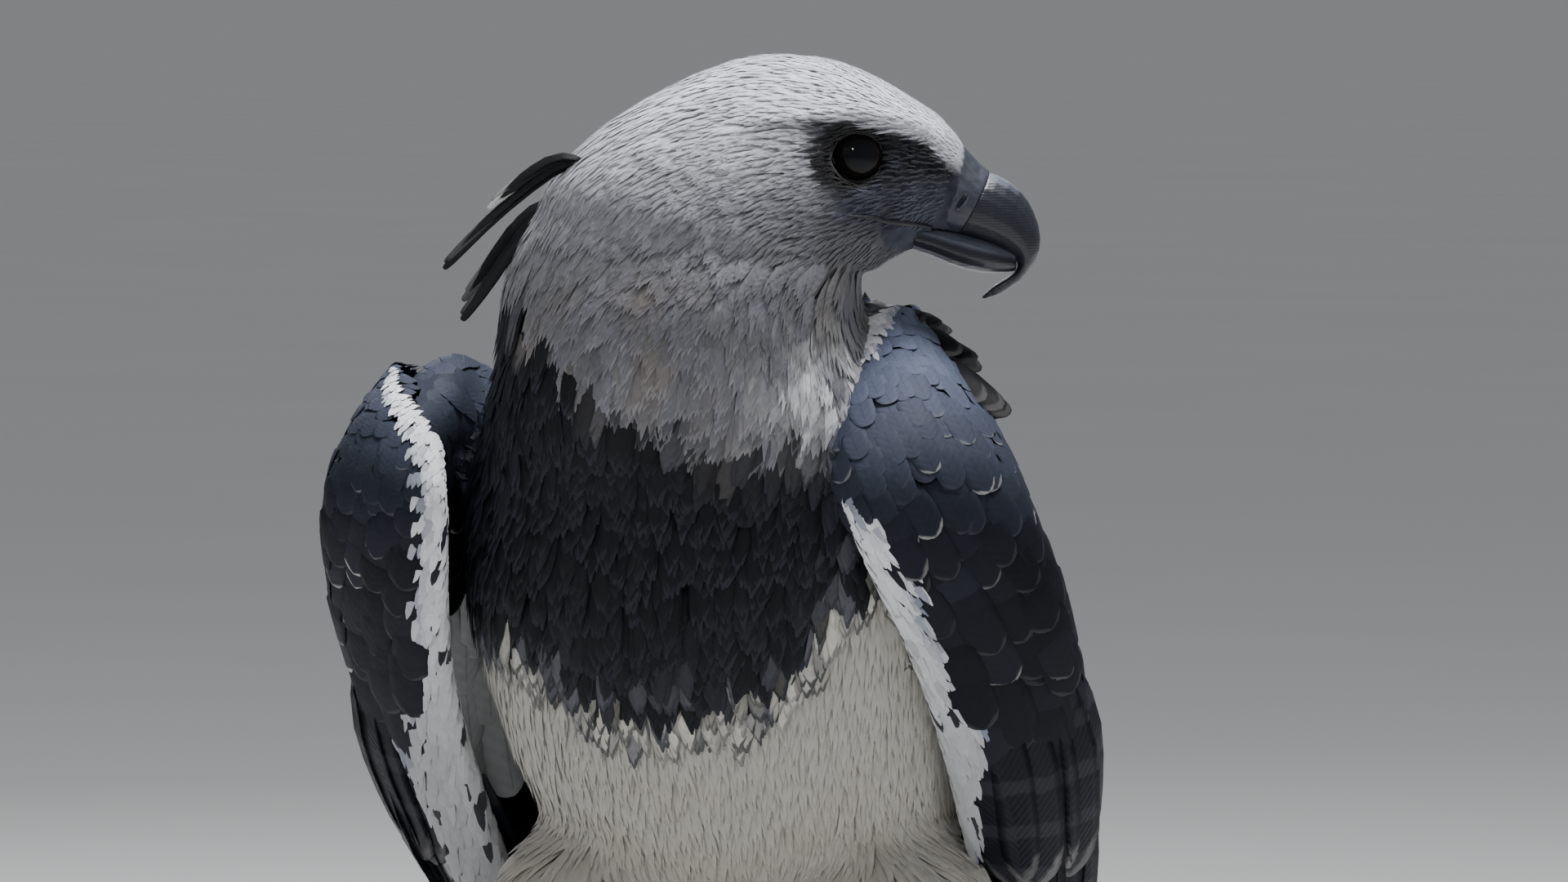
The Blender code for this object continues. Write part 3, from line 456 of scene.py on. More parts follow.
flesh = [(name, flesh_copy(name)) for name in ("torso", "neck", "head", "cere", "bill_upper", "bill_lower",
                                               "thigh_left", "thigh_right")]
flesh += [("wing", wing_flesh(1)), ("wing", wing_flesh(-1)), ("tail", tail_flesh())]
joined = bmesh.new()
flesh_name = []                 # the name of the flesh that each face came from
for name, form in flesh:
    kept = mesh_of(name, form)
    joined.from_mesh(kept)
    flesh_name += [name] * (len(joined.faces) - len(flesh_name))
    bpy.data.meshes.remove(kept)
flesh_tree = BVHTree.FromBMesh(joined)
skin = placed("skin", mesh_of("skin", joined), down)
skin_mesh = remeshed(skin, skin_grain, 4)
skin_points, skin_outs = read_points(skin_mesh)
# the flesh that each point of the skin belongs to
skin_part = np.array(flesh_name)[[flesh_tree.find_nearest(point)[2] for point in skin_points]]


def step_up(low, high, value):
    """A smooth step from 0 at low to 1 at high."""
    share = np.clip((value - low) / (high - low), 0, 1)
    return share * share * (3 - 2 * share)


def head_places(points):
    """Points as forward, up and left of the head."""
    offset = points - between_eyes
    return offset @ head_ahead, offset[..., 2], offset @ head_left


forward, rise, aside = head_places(skin_points)
coat_depth = {"head": 0.0022, "neck": 0.0055, "torso": 0.0085, "thigh_left": 0.0075, "thigh_right": 0.0075,
              "wing": 0.0035, "tail": 0.004, "cere": 0.0002, "bill_upper": 0.0030, "bill_lower": 0.0020}
depth = np.array([coat_depth[name] for name in skin_part])
face_depth = np.interp(forward, (-0.02, 0.0, 0.03, 0.04), (0.0018, 0.0012, 0.0006, -0.0002))
depth = np.where((skin_part == "head") & (forward > -0.02), face_depth, depth)
cere_back = 0.0492 + 0.27 * rise        # how far forward the cere begins and ends
cere_front = 0.0671 + 0.57 * rise
cere_depth = np.interp(forward - cere_back, (0.0005, 0.0045), (-0.0002, 0.0022))
depth = np.where(skin_part == "cere", cere_depth, depth)
ends = read(skin_mesh.edges, "vertices", 2, int)
first_end, last_end = ends.T
neighbours = np.bincount(ends.ravel(), minlength=len(depth))
for _ in range(14):
    around = (np.bincount(first_end, depth[last_end], len(depth))
              + np.bincount(last_end, depth[first_end], len(depth)))
    depth = np.where(forward > 0.0, depth, 0.5 * depth + 0.5 * around / neighbours)
# The brow: a ridge of bone that stands out over each eye and shades it.
brow_line = ((-0.034, 0.0120, 0.0410), (-0.020, 0.0160, 0.0425), (-0.004, 0.0172, 0.0420),
             (0.012, 0.0155, 0.0360), (0.028, 0.0120, 0.0275))
brow_rise = 0.0036
brow_wide = 0.0050
for m in (1, -1):
    ridge = on_head(*(curve_at(brow_line, np.linspace(0, 4, 25)) * (1, 1, m)).T)
    gap = np.sqrt(((skin_points[:, None] - ridge[None]) ** 2).sum(-1)).min(1)
    depth = depth - brow_rise * np.exp(-((gap / brow_wide) ** 2))
points = skin_points - skin_outs * depth[:, None]
skin_mesh.vertices.foreach_set("co", points.ravel())
skin_mesh.update()
eased(skin, 0.5, 3)
# The flesh of the shoulder runs smoothly from the neck on to the wing.
shoulder_flesh = np.isin(skin_part, ("wing", "torso")) & (skin_points[:, 2] > 0.520)
shoulder_flesh &= np.abs(skin_points[:, 0] - trunk_place[0]) > 0.055
skin.vertex_groups.new(name="shoulder").add(np.flatnonzero(shoulder_flesh).tolist(), 1.0, "REPLACE")
eased(skin, 0.7, 160, "shoulder")
skin_mesh = settle(skin)
# Inside the bill there is no skin.
shape = bmesh.new()
shape.from_mesh(skin_mesh)
shape.verts.ensure_lookup_table()
inside_bill = np.flatnonzero((skin_part == "bill_upper") & (forward > cere_front + 0.003)
                             | (skin_part == "bill_lower") & (forward > 0.036))
bmesh.ops.delete(shape, geom=[shape.verts[int(k)] for k in inside_bill], context="VERTS")
shape.to_mesh(skin_mesh)
shape.free()
skin_points, skin_outs = read_points(skin_mesh)
skin_part = np.delete(skin_part, inside_bill)

# Lie of the plumage
# Feathers grow back from the bill, over the crown and cheeks, down the neck and on to
# the tail. Guides on the body give that direction, and each feather takes the nearest.

# Places on the head and the way there, both as forward, up and left.
head_guides = (
    (0.046, 0.002, 0, -1, 0.60, 0), (0.020, 0.030, 0, -1, 0.45, 0), (-0.020, 0.043, 0, -1, 0, 0),
    (-0.070, 0.034, 0, -1, -0.35, 0), (-0.110, 0.008, 0, -0.6, -0.80, 0), (-0.135, -0.040, 0, -0.1, -1, 0),
    (-0.125, -0.100, 0, 0.1, -1, 0), (0.040, -0.012, 0.022, -1, 0.10, 0.3),
    (0.020, 0.012, 0.034, -1, 0.05, 0.3), (0.016, -0.020, 0.036, -1, -0.10, 0.3),
    (-0.020, 0.020, 0.042, -1, 0.05, 0), (-0.015, -0.024, 0.045, -1, -0.28, 0),
    (-0.060, 0, 0.055, -0.9, -0.40, 0),
    (-0.070, -0.050, 0.066, -0.5, -0.90, 0), (-0.050, -0.090, 0.070, -0.1, -1, 0),
    (0.022, -0.042, 0, -1, -0.45, 0), (0.008, -0.060, 0, -0.5, -1, 0), (-0.010, -0.095, 0, -0.1, -1, 0))
# The same on the trunk, in its own frame: x, y and z.
trunk_guides = (
    (0, -0.100, 0.480, 0, 0.10, -1), (0, -0.050, 0.370, 0, 0.50, -1), (0, 0.060, 0.275, 0, 1, -0.5),
    (0, 0.040, 0.550, 0, 0.35, -1), (0, 0.100, 0.460, 0, 0.45, -1), (0, 0.150, 0.360, 0, 0.75, -0.7),
    (0.108, -0.020, 0.480, 0, 0.30, -1), (0.104, 0.030, 0.390, 0, 0.50, -0.9),
    (0.060, 0.100, 0.310, 0, 0.90, -0.6), (0.080, -0.030, 0.280, 0, 0.10, -1),
    (0.120, 0.030, 0.240, 0, 0.10, -1), (0.070, -0.020, 0.570, 0.5, 0.60, -0.4),
    (0.110, -0.010, 0.560, 0.4, 0.70, -0.7), (0.090, 0.040, 0.570, 0.1, 1, -0.7),
    (0.085, 0.040, 0.140, 0, 0, -1), (0.080, 0.100, 0.200, 0, -0.10, -1))


def mirrored(rows, sideways):
    """Places and ways. One beside the middle stands for both sides, the right one first."""
    for row in rows:
        for m in (-1, 1) if row[sideways] else (1,):
            flip = np.ones(3)
            flip[sideways] = m
            yield np.reshape(row, (2, 3)) * flip


guides = [(on_head(*place), head_ahead * way[0] + up_axis * way[1] + head_left * way[2])
          for place, way in mirrored(head_guides, 2)]
guides += [(trunk_place + place, way) for place, way in mirrored(trunk_guides, 0)]
guide_places = np.array([place for place, _ in guides])
guide_ways = unit(np.array([way for _, way in guides]))
guide_blend = 0.015             # metres over which neighbouring guides mix


def lie(points, outs):
    """The way the plumage lies at points of the skin."""
    gap = ((points[:, None, :] - guide_places[None]) ** 2).sum(-1)
    weight = (gap + guide_blend**2) ** -1.6
    way = (weight[..., None] * guide_ways[None]).sum(1)
    way -= outs * (way * outs).sum(1)[:, None]
    return unit(way)


def turned(ways, outs, angles):
    """Directions turned on the surface by angles."""
    return ways * np.cos(angles)[:, None] + np.cross(outs, ways) * np.sin(angles)[:, None]


skin_quads = read(skin_mesh.loops, "vertex_index", 1, int).reshape(-1, 4)
skin_tree = BVHTree.FromPolygons(skin_points.tolist(), skin_quads.tolist())
quad_outs = unit(skin_outs[skin_quads].mean(1))


def down_the_skin(starts, lengths, rows, bend):
    """Middle lines of feathers: each runs from its start along the lie, bent aside by some angle."""
    lines = np.empty((rows, len(starts), 3))
    outs = np.empty((rows, len(starts), 3))
    spots = starts
    for row in range(rows):
        found = [skin_tree.find_nearest(spot) for spot in spots]
        lines[row] = [hit[0] for hit in found]
        outs[row] = quad_outs[[hit[2] for hit in found]]
        way = turned(lie(lines[row], outs[row]), outs[row], bend)
        spots = lines[row] + way * (lengths / (rows - 1))[:, None]
    return lines, outs


def roots(where, spacing, seed):
    """Evenly spread places on the chosen part of the skin, as indexes of its points."""
    draw = np.random.default_rng(seed)
    picks = np.flatnonzero(where)
    draw.shuffle(picks)
    cells = np.floor(skin_points[picks] / spacing + draw.random(3)).astype(int)
    first = np.unique(cells, axis=0, return_index=True)[1]
    return picks[np.sort(first)]


def ripple(points, pitch, seed):
    """Soft irregular variation between -1 and 1, with waves of about that pitch in metres."""
    draw = np.random.default_rng(seed)
    total = np.zeros(points.shape[:-1])
    for _ in range(6):
        way = draw.normal(size=3)
        way /= np.linalg.norm(way) * pitch * draw.uniform(0.7, 1.5) / (2 * np.pi)
        total = total + np.sin(points @ way + draw.uniform(0, 6.3))
    return total / 3.5


# Markings, with some painted light and shade: the same functions colour the skin and every feather that
# grows on it.
pale_grey = np.array([0.56, 0.57, 0.62])
nape_grey = np.array([0.092, 0.095, 0.110])
brown_grey = np.array([0.105, 0.095, 0.088])
tuft_white = np.array([0.68, 0.69, 0.71])
bib_black = np.array([0.0055, 0.0058, 0.0072])
slate = np.array([0.0070, 0.0080, 0.0115])
# Blue-grey of the shoulders and wing tops, partly the plumage's own and partly painted sheen from the light
# above.
slate_blue_and_sheen = np.array([0.062, 0.073, 0.108])
# The belly's white and cream are painted darker than the feathers are, as painted shade under the light from
# above.
shaded_belly_white = np.array([0.32, 0.312, 0.285])
shaded_belly_cream = np.array([0.29, 0.262, 0.220])
lore_black = np.array([0.0050, 0.0050, 0.0060])
lore_grey = np.array([0.060, 0.066, 0.088])
# Where grey gives way to black round the neck: forward and up from the eyes.
collar = ((-0.152, -0.1236, -0.102, -0.070, -0.034, 0.005),
          (-0.030, -0.076, -0.094, -0.107, -0.108, -0.092))
# Lower edge of the black, by the angle round the trunk from its front, and its height.
bib_edge = ((-3.15, -2.4, -2.0, -1.75, -1.17, -0.59, -0.42, -0.12, 0.26, 0.52, 0.69, 0.87, 1.4, 1.75, 2.0,
             2.4, 3.15),
            (0.25, 0.29, 0.36, 0.445, 0.459, 0.438, 0.424, 0.417, 0.423, 0.436, 0.452, 0.480, 0.485, 0.445,
             0.36, 0.29, 0.25))


def shade(first, second, share):
    """Colours between two others."""
    share = np.asarray(share)[..., None]
    return first * (1 - share) + second * share


def trunk_angle(points):
    """The angle of points round the trunk's own middle, 0 in front and positive to the bird's left."""
    middle_y = trunk_place[1] + np.interp(points[:, 2], (0.26, 0.34, 0.44, 0.50, 0.56, 0.60),
                                          (0.14, 0.096, 0.01, -0.018, -0.036, -0.044))
    return np.arctan2(points[:, 0] - trunk_place[0], -(points[:, 1] - middle_y))


def hump(*shares):
    """1 where every share is 0, and falling smoothly to 0 past 1."""
    return np.exp(-sum(share**2 for share in shares))


def collar_gap(points):
    """How far points stand above the line where grey gives way to black."""
    forward, rise, _ = head_places(points)
    return rise - np.interp(forward, *collar)


def body_colour(points, part, seed=5):
    """Ground colour of the plumage at points of the body, and how strongly it is barred."""
    chance = np.random.default_rng(seed).random(len(points))
    forward, rise, aside = head_places(points)
    angle = trunk_angle(points)
    height = points[:, 2]
    wing = part == "wing"
    wave = ripple(points, 0.020, 3)
    fine = ripple(points, 0.007, 4)
    # Belly, bib and back, each with its own black, then the blue shoulders, their blue partly
    # painted sheen and painted darker on the bird's right side.
    grey = step_up(-0.008, 0.010, collar_gap(points) + 0.006 * wave + 0.012 * (chance - 0.5))
    grey = grey * (1 - (part == "torso") * step_up(1.5, 1.9, np.abs(angle))) * (1 - wing)
    edge = height - np.interp(angle, *bib_edge)
    dark = np.maximum(step_up(-0.004, 0.004, edge + 0.003 * wave + 0.010 * (chance - 0.5)), wing)
    cream = step_up(0.46, 0.28, height) * (0.45 + 0.35 * wave)
    back = step_up(1.7, 2.1, np.abs(angle))
    black = shade(bib_black, slate, np.clip(back + 0.25 * chance, 0, 1))
    side_out = np.abs(points[:, 0] - trunk_place[0])
    blue_and_sheen = step_up(0.060, 0.095, side_out) * step_up(0.49, 0.55, height)
    # Painted shade: the blue on the bird's right shoulder is halved.
    blue_and_sheen = blue_and_sheen * np.where(points[:, 0] < trunk_place[0], 0.5, 1.0)
    black = shade(black, slate_blue_and_sheen, np.clip(blue_and_sheen + 0.2 * wave * blue_and_sheen, 0, 1))
    fringe = hump((edge - 0.004) / 0.014) * step_up(0.50, 0.8, chance + 0.1 * wave)
    # The belly's darkened white and cream carry painted shade.
    colour = shade(shade(shaded_belly_white, shaded_belly_cream, np.clip(cream, 0, 0.7)), black, dark)
    colour = shade(colour, nape_grey, fringe * 0.8 * (1 - back))
    # The head: pale on top and darker downwards, partly its own grey and partly painted
    # light and shade, with painted shade on the cheeks, brownish low on the neck, a white tuft.
    pale_and_lit_top = np.interp(rise, (-0.10, -0.06, -0.03, -0.01, 0.01, 0.03), (0.0, 0.04, 0.09, 0.26, 0.64, 0.92))
    # Painted highlight on the forehead.
    pale_and_lit_top = pale_and_lit_top + 0.22 * step_up(0.0, 0.02, forward) * step_up(0.004, 0.012, rise)
    head_grey = shade(nape_grey, pale_grey, np.clip(pale_and_lit_top * (1 + 0.16 * wave), 0, 1.12))
    streaks = ripple(np.stack([forward * 0.22, rise, aside], axis=1), 0.0065, 7)
    # Painted shade on the cheek.
    cheek_shade = hump((forward - 0.004) / 0.034, (rise + 0.026) / 0.022)
    head_grey = head_grey * ((1 + 0.12 * streaks) * (1 - 0.38 * cheek_shade))[:, None]
    brown = np.clip(step_up(-0.02, -0.06, rise) * (0.7 * wave + 0.3), 0, 0.8)
    head_grey = shade(head_grey, brown_grey, brown)
    colour = shade(colour, head_grey * (0.93 + 0.14 * chance)[:, None], grey)
    tuft = hump((forward + 0.012) / 0.026, (rise + 0.086) / 0.018)
    colour = shade(colour, tuft_white, np.clip(tuft * (0.5 + 0.6 * wave + 0.4 * (chance - 0.5)), 0, 0.62))
    # Dark mask from the eye to the bill and down to the corner of the mouth.
    floor_line = np.interp(forward, (-0.012, -0.006, 0.009, 0.013, 0.024, 0.026),
                           (-0.020, -0.0255, -0.0285, -0.0395, -0.0420, -0.070))
    roof_line = np.interp(forward, (-0.018, 0.0003, 0.0116, 0.0278, 0.0340, 0.0383, 0.0432, 0.0500),
                          (0.0142, 0.0146, 0.0112, 0.0072, 0.0030, -0.0017, -0.0063, -0.0090))
    mask = (step_up(-0.004, 0.002, rise - floor_line + 0.002 * fine)
            * step_up(-0.0145, -0.0070, forward + 0.25 * (rise + 0.008) + 0.001 * fine))
    round_eye = step_up(0.0172, 0.0142, np.hypot(forward + 0.001, rise))
    mask = np.maximum(mask, round_eye) * step_up(0.002, -0.001, rise - roof_line)
    greyer = np.clip(step_up(0.0, -0.022, rise) * (0.75 + 0.25 * wave) + 0.25 * fine, 0, 1)
    lores = shade(shade(lore_black, lore_grey, greyer), lore_black, round_eye)
    bare = np.isin(part, ("cere", "bill_upper", "bill_lower"))
    colour = shade(colour, lores, mask * ((part == "head") | bare))
    # A thin dark streak runs back from the eye.
    streak = (hump((rise - 0.0125 + 0.10 * (forward + 0.016)) / 0.0022) * step_up(-0.046, -0.030, forward)
              * step_up(-0.010, -0.016, forward))
    colour = shade(colour, nape_grey * 0.45, streak * 0.7)
    colour = np.where(bare[:, None], shade(lore_black, lore_grey, 0.6 + 0.3 * fine), colour)
    # Bars on the thighs and low on the flanks.
    outer = step_up(0.075, 0.110, side_out)
    bars = np.char.startswith(part, "thigh") * np.maximum(step_up(0.325, 0.29, height), outer) * 0.9
    return colour, np.maximum(bars, step_up(0.38, 0.33, height) * outer * (1 - dark))


def plumage(name, family, barbs, slope, roughness, sheen, gloss, shaft=0.0, relief=0.0002, bands=None,
            rim_from=0.90, vary=1.0):
    """Feather finish: ground colour, pale rim, barbs, shaft and cross bars from the mesh's own values."""
    finish = Finish(f"{name}_plumage", f"plumage_{family}", Sheen_Weight=sheen, Sheen_Roughness=0.45,
                    Specular_IOR_Level=gloss)
    across = finish.node("ShaderNodeSeparateXYZ", None, {0: finish.read("vane", "Vector")})
    along = across.other(1)
    chance = across.other(2)
    broad = abs(across)
    streak = (along * barbs + broad * slope + chance * 40.0).wave()
    place = finish.place()
    soft = finish.noise(160.0, 3.0, place)
    ragged = along + broad * broad * 0.16 + (soft - 0.5) * 0.10 + across * (chance - 0.5) * 0.06
    edge = ((ragged - rim_from) * 22.0).clamp() * finish.read("rim", "Alpha")
    colour = finish.blend(edge, finish.read("ground", "Color"), finish.read("rim", "Color"))
    height = finish.node("ShaderNodeSeparateXYZ", None, {0: place}, 2)
    warp = finish.noise(38.0, 2.0, place)
    stripe = ((height * 640.0 + soft * 3.0 + warp * 5.0 + chance * 0.5).wave() - 0.25) * 4.0
    colour = finish.blend(stripe.clamp() * finish.read("bars"), colour, (0.02, 0.021, 0.025))
    if bands:
        count, phase, depth, tint = bands
        band = (along * (count * 6.2832) + phase + (soft - 0.5) * 0.9).wave()
        colour = finish.blend(((band - 0.45) * 5.0).clamp() * depth, colour, tint)
    tone = (streak * 0.07 + (soft - 0.5) * 0.5 + (chance - 0.5) * 0.16) * vary + 0.98
    colour = finish.vector("SCALE", {0: colour, "Scale": tone})
    if shaft:
        line = ((0.055 - broad) * 40.0).clamp() * ((0.97 - along) * 20.0).clamp()
        colour = finish.blend(line * shaft, colour, (0.01, 0.01, 0.012))
    finish.feed(Base_Color=colour, Roughness=soft * 0.25 + (roughness - 0.12))
    finish.bump(streak * 0.5 + soft, 0.55, relief)
    return finish


def note(mesh, name, kind, values):
    """Stores values on the mesh's points, for its finish to read."""
    key = {"FLOAT": "value", "FLOAT_VECTOR": "vector", "FLOAT_COLOR": "color"}[kind]
    mesh.attributes.new(name, kind, "POINT").data.foreach_set(key, np.ravel(values))


def feathers(name, lines, outs, halves, heights, cut, ground, rim, rim_share, bars, chart, finish,
             droop=0.25, twist=None, soft=0.0, shading=None):
    """One piece of joined feathers: closed thin blades laid along middle lines.

    lines and outs are rows x feathers x 3, heights are rows x feathers over the skin. The cut
    is the places across from -1 to 1, the places along, and the share of the half width there.
    A soft feather is shaded as the body under it, or as the given shading.
    """
    across, stations, profile = map(np.asarray, cut)
    rows, count = lines.shape[:2]
    columns = len(across)
    way = np.empty_like(lines)
    way[1:-1] = lines[2:] - lines[:-2]
    way[0] = lines[1] - lines[0]
    way[-1] = lines[-1] - lines[-2]
    side = unit(np.cross(outs, way))
    if twist is not None:
        side = unit(side + outs * twist[..., None])
    wide = (halves * profile[:, None])[..., None, None]
    points = ((lines + outs * heights[..., None])[:, :, None] + side[:, :, None] * (across[:, None] * wide)
              - outs[:, :, None] * (droop * across**2)[:, None] * wide)
    points = points.transpose(1, 0, 2, 3)                # feathers x rows x columns x 3
    base = (np.arange(count) * rows * columns)[:, None, None]
    grid = np.arange(rows * columns).reshape(rows, columns)
    ring = np.concatenate([grid, grid[:, :1]], axis=1)
    quads = np.stack([ring[:-1, :-1], ring[1:, :-1], ring[1:, 1:], ring[:-1, 1:]], axis=-1).reshape(-1, 4)
    quads = (base + quads).ravel()
    ends = (base + np.stack([grid[0], grid[-1, ::-1]])).ravel()
    corners = np.concatenate([quads, ends])
    sizes = np.repeat([4, columns], [len(quads) // 4, 2 * count])
    mesh = bpy.data.meshes.new(name)
    mesh.vertices.add(points.size // 3)
    mesh.vertices.foreach_set("co", points.ravel())
    mesh.loops.add(len(corners))
    mesh.loops.foreach_set("vertex_index", corners)
    mesh.polygons.add(len(sizes))
    mesh.polygons.foreach_set("loop_start", np.cumsum(sizes) - sizes)
    mesh.update(calc_edges=True)
    mesh.shade_smooth()
    vane = np.empty((count, rows, columns, 3))
    vane[..., 0] = across
    vane[..., 1] = stations[:, None]
    vane[..., 2] = np.random.default_rng(count).random(count)[:, None, None]
    note(mesh, "vane", "FLOAT_VECTOR", vane)
    for key, colour, share in (("ground", ground, 1.0), ("rim", rim, rim_share)):
        shown = np.empty((count, 4))
        shown[:, :3] = colour
        shown[:, 3] = share
        note(mesh, key, "FLOAT_COLOR", np.repeat(shown, rows * columns, 0))
    note(mesh, "bars", "FLOAT", np.repeat(np.broadcast_to(bars, count), rows * columns))
    patch = 0.003                                        # each feather's share of the bake map
    bake = chart[:, None, None] + (vane[..., :2] * (0.5, 1.0) - (0.0, 0.5)) * patch
    mesh.uv_layers.new(name="OFBake").data.foreach_set("uv", bake.reshape(-1, 2)[corners].ravel())
    if soft:
        below = (outs if shading is None else shading).transpose(1, 0, 2).reshape(-1, 3)
        below = np.repeat(below, columns, 0)
        blended = unit(read_points(mesh)[1] * (1 - soft) + below * soft)[corners]
        # The underside of a blade, where it shows, is shaded as an underside.
        under = (blended * np.repeat(read(mesh.polygons, "normal"), sizes, 0)).sum(1) < 0
        blended[under] *= -1
        mesh.normals_split_custom_set(blended)
    return placed(name, mesh, finish)


def round_chart(points, start, end):
    """An unwrap round a straight axis through the body: the angle round it, and the way along."""
    start, end = np.asarray(start), np.asarray(end)
    axis = (end - start) / np.linalg.norm(end - start)
    offset = points - start
    along = offset @ axis / np.linalg.norm(end - start)
    side = np.cross(axis, [0.31, 0.87, 0.38])
    side /= np.linalg.norm(side)
    angle = np.arctan2(offset @ np.cross(axis, side), offset @ side)
    return 0.02 + 0.96 * np.stack([angle / (2 * np.pi) + 0.5, np.clip(along, 0, 1)], axis=1)


tuft_across = (-1.0, 0.0, 1.0)


def coat(name, where, spacing, length, half, lift, finish, axis, seed, sink=0.0012,
         profile=(0.45, 0.95, 1.0, 0.72, 0.10), spread=0.16, soft=0.45, rim=None, rim_share=0.0,
         length_of=None, droop=0.35, tint=0.0, strands=1, fan=0.12, rounded=0.0):
    """One piece of the body's coat: tufts from the skin along the lie.

    In metres, the spacing is between roots, half is half the width, lift is the tip's height
    over the skin and sink the root's depth in it. The rim colour is the tip's, by its share.
    With more strands each feather is split into that many, which fan out towards its tip.
    The more rounded it is, the more it is shaded as one round trunk, across any fold below.
    """
    draw = np.random.default_rng(seed)
    picks = roots(where, spacing, seed)
    count = len(picks)
    starts = skin_points[picks]
    sides = unit(np.cross(skin_outs[picks], [0.3, 0.5, 0.81]))
    starts = starts + (turned(sides, skin_outs[picks], draw.uniform(0, 6.28, count))
                       * (spacing * 0.4 * np.sqrt(draw.random(count)))[:, None])
    scale = np.ones(count) if length_of is None else length_of(starts)
    lengths = length * scale * draw.uniform(0.82, 1.18, count)
    halves = half * scale ** 0.7 * draw.uniform(0.8, 1.2, count)
    bend = draw.normal(0, spread, count)
    up_by = lift * scale * draw.uniform(0.8, 1.2, count)
    if strands > 1:
        picks, starts = np.repeat(picks, strands), np.repeat(starts, strands, 0)
        place = np.tile(np.linspace(-1, 1, strands), count) + draw.normal(0, 0.18, count * strands)
        shorter = 1.03 - 0.10 * np.abs(place)
        lengths = np.repeat(lengths, strands) * shorter * draw.uniform(0.9, 1.08, len(place))
        halves = np.repeat(halves, strands) * 1.25 / strands * draw.uniform(0.8, 1.2, len(place))
        bend = np.repeat(bend, strands) + place * fan
        up_by = np.repeat(up_by, strands) * (1 - 0.08 * np.abs(place))
    stations = np.linspace(0, 1, len(profile))
    lines, outs = down_the_skin(starts, lengths, len(profile), bend)
    heights = -sink + (up_by + sink) * np.sqrt(stations)[:, None]
    ground, bars = body_colour(starts[::strands], skin_part[picks[::strands]], seed + 1)
    ground = ground * (1 + tint * draw.normal(size=count))[:, None]
    ground, bars = np.clip(np.repeat(ground, strands, 0), 0.003, 0.9), np.repeat(bars, strands)
    share = np.repeat(rim_share * draw.uniform(0.3, 1.0, count), strands)
    away = (lines - trunk_place - (0, 0.10, 0)) * (1, 1, 0)     # level, from the trunk's own axis
    return feathers(name, lines, outs, halves, heights, (tuft_across, stations, profile), ground,
                    ground if rim is None else rim, share, bars, round_chart(starts, *axis), finish, droop,
                    None, soft, unit(outs + rounded * unit(away)))


skin_ground, skin_bars = body_colour(skin_points, skin_part)
on_wing = skin_part == "wing"
skin_ground[on_wing | (skin_part == "tail")] = slate
skin_ground[on_wing & (skin_points[:, 2] > 0.515)] = slate_blue_and_sheen * 0.5
shown = np.ones((len(skin_points), 4))
shown[:, :3] = skin_ground * 0.8
note(skin_mesh, "bars", "FLOAT", skin_bars)
skin_mesh.shade_smooth()

# Head plumage
# Fine silky feathers, shortest round the bill and eyes and longer over the crown and
# nape, pale grey with a dark mask between eye and bill. They are the softest ones.

forward, rise, aside = head_places(skin_points)
eye_gap = np.sqrt(forward**2 + rise**2 + (np.abs(aside) - eye_reach) ** 2)
bare_eye = (eye_gap < 0.0150) & (rise < 0.0125)
at_bill = forward > np.interp(rise, (-0.035, -0.028, -0.015, -0.0063, 0.003),
                              (0.0385, 0.0400, 0.0435, 0.0460, 0.0505))
# The line of the mouth, forward and up from the eyes.
mouth = ((-0.0060, -0.0257), (0.0050, -0.0266), (0.0132, -0.0284), (0.0246, -0.0297), (0.0327, -0.0310),
         (0.0407, -0.0331))
jaw_gap = rise - np.interp(forward, *np.transpose(mouth))
bare_jaw = ((forward > 0.0125) & (jaw_gap < 0.0002)
            & (rise > np.interp(forward, (0.0108, 0.031), (-0.0377, -0.0431)) + 0.0008))
head_axis = (on_head(0.06, -0.01), on_head(-0.145, -0.01))
angle = trunk_angle(skin_points)
silk = plumage("silky", "grey", barbs=26.0, slope=3.0, roughness=0.7, sheen=0.25, gloss=0.2,
               relief=0.00012, vary=0.8)


def longer_behind(points):
    """Feathers lengthen from the bill to the nape."""
    return np.interp(head_places(points)[0], (-0.13, -0.07, -0.01, 0.03, 0.05), (2.3, 1.75, 1.15, 0.75, 0.6))


on_head_skin = (skin_part == "head") & ~bare_eye & ~at_bill & ~bare_jaw
grey_side = collar_gap(skin_points) > -0.004
behind = np.abs(angle) > 1.75
coat("face_feathers", on_head_skin & (forward > -0.020), 0.00116, 0.0088, 0.00060, 0.0010, silk, head_axis,
     11, spread=0.10, length_of=longer_behind, tint=0.04, sink=0.0005, droop=0.12, soft=0.8,
     profile=(0.6, 1.0, 0.8, 0.08))
coat("crown_feathers", on_head_skin & (forward <= -0.015), 0.00180, 0.0100, 0.00085, 0.0013, silk, head_axis,
     12, spread=0.12, length_of=longer_behind, tint=0.05, sink=0.0008, droop=0.12, soft=0.8,
     profile=(0.6, 1.0, 0.95, 0.62, 0.06))

# Neck plumage
# Larger rounded feathers that overlap like scales, grey with paler edges, and darker
# and longer towards the collar. The darkening is partly painted shade.

neck_axis = (on_head(-0.05, 0.02), on_head(-0.06, -0.16))
scaled = plumage("scaled", "grey", barbs=30.0, slope=4.0, roughness=0.70, sheen=0.15, gloss=0.2)
neck_area = (((skin_part == "neck") & grey_side) | ((skin_part == "torso") & grey_side & ~behind)
             | ((skin_part == "head") & (forward < -0.045) & (rise < 0.008)))


def longer_below(points):
    """Feathers lengthen from the back of the head to the collar."""
    return np.interp(collar_gap(points), (0.0, 0.035, 0.095, 0.13), (1.15, 1.0, 0.62, 0.5))


coat("neck_feathers", neck_area, 0.0045, 0.026, 0.0060, 0.0038, scaled, neck_axis, 13,
     profile=(0.7, 1.0, 1.0, 0.72, 0.07), spread=0.11, rim=(0.36, 0.36, 0.39), rim_share=0.20, tint=0.08,
     droop=0.10, soft=0.75, strands=3, fan=0.08, length_of=longer_below)
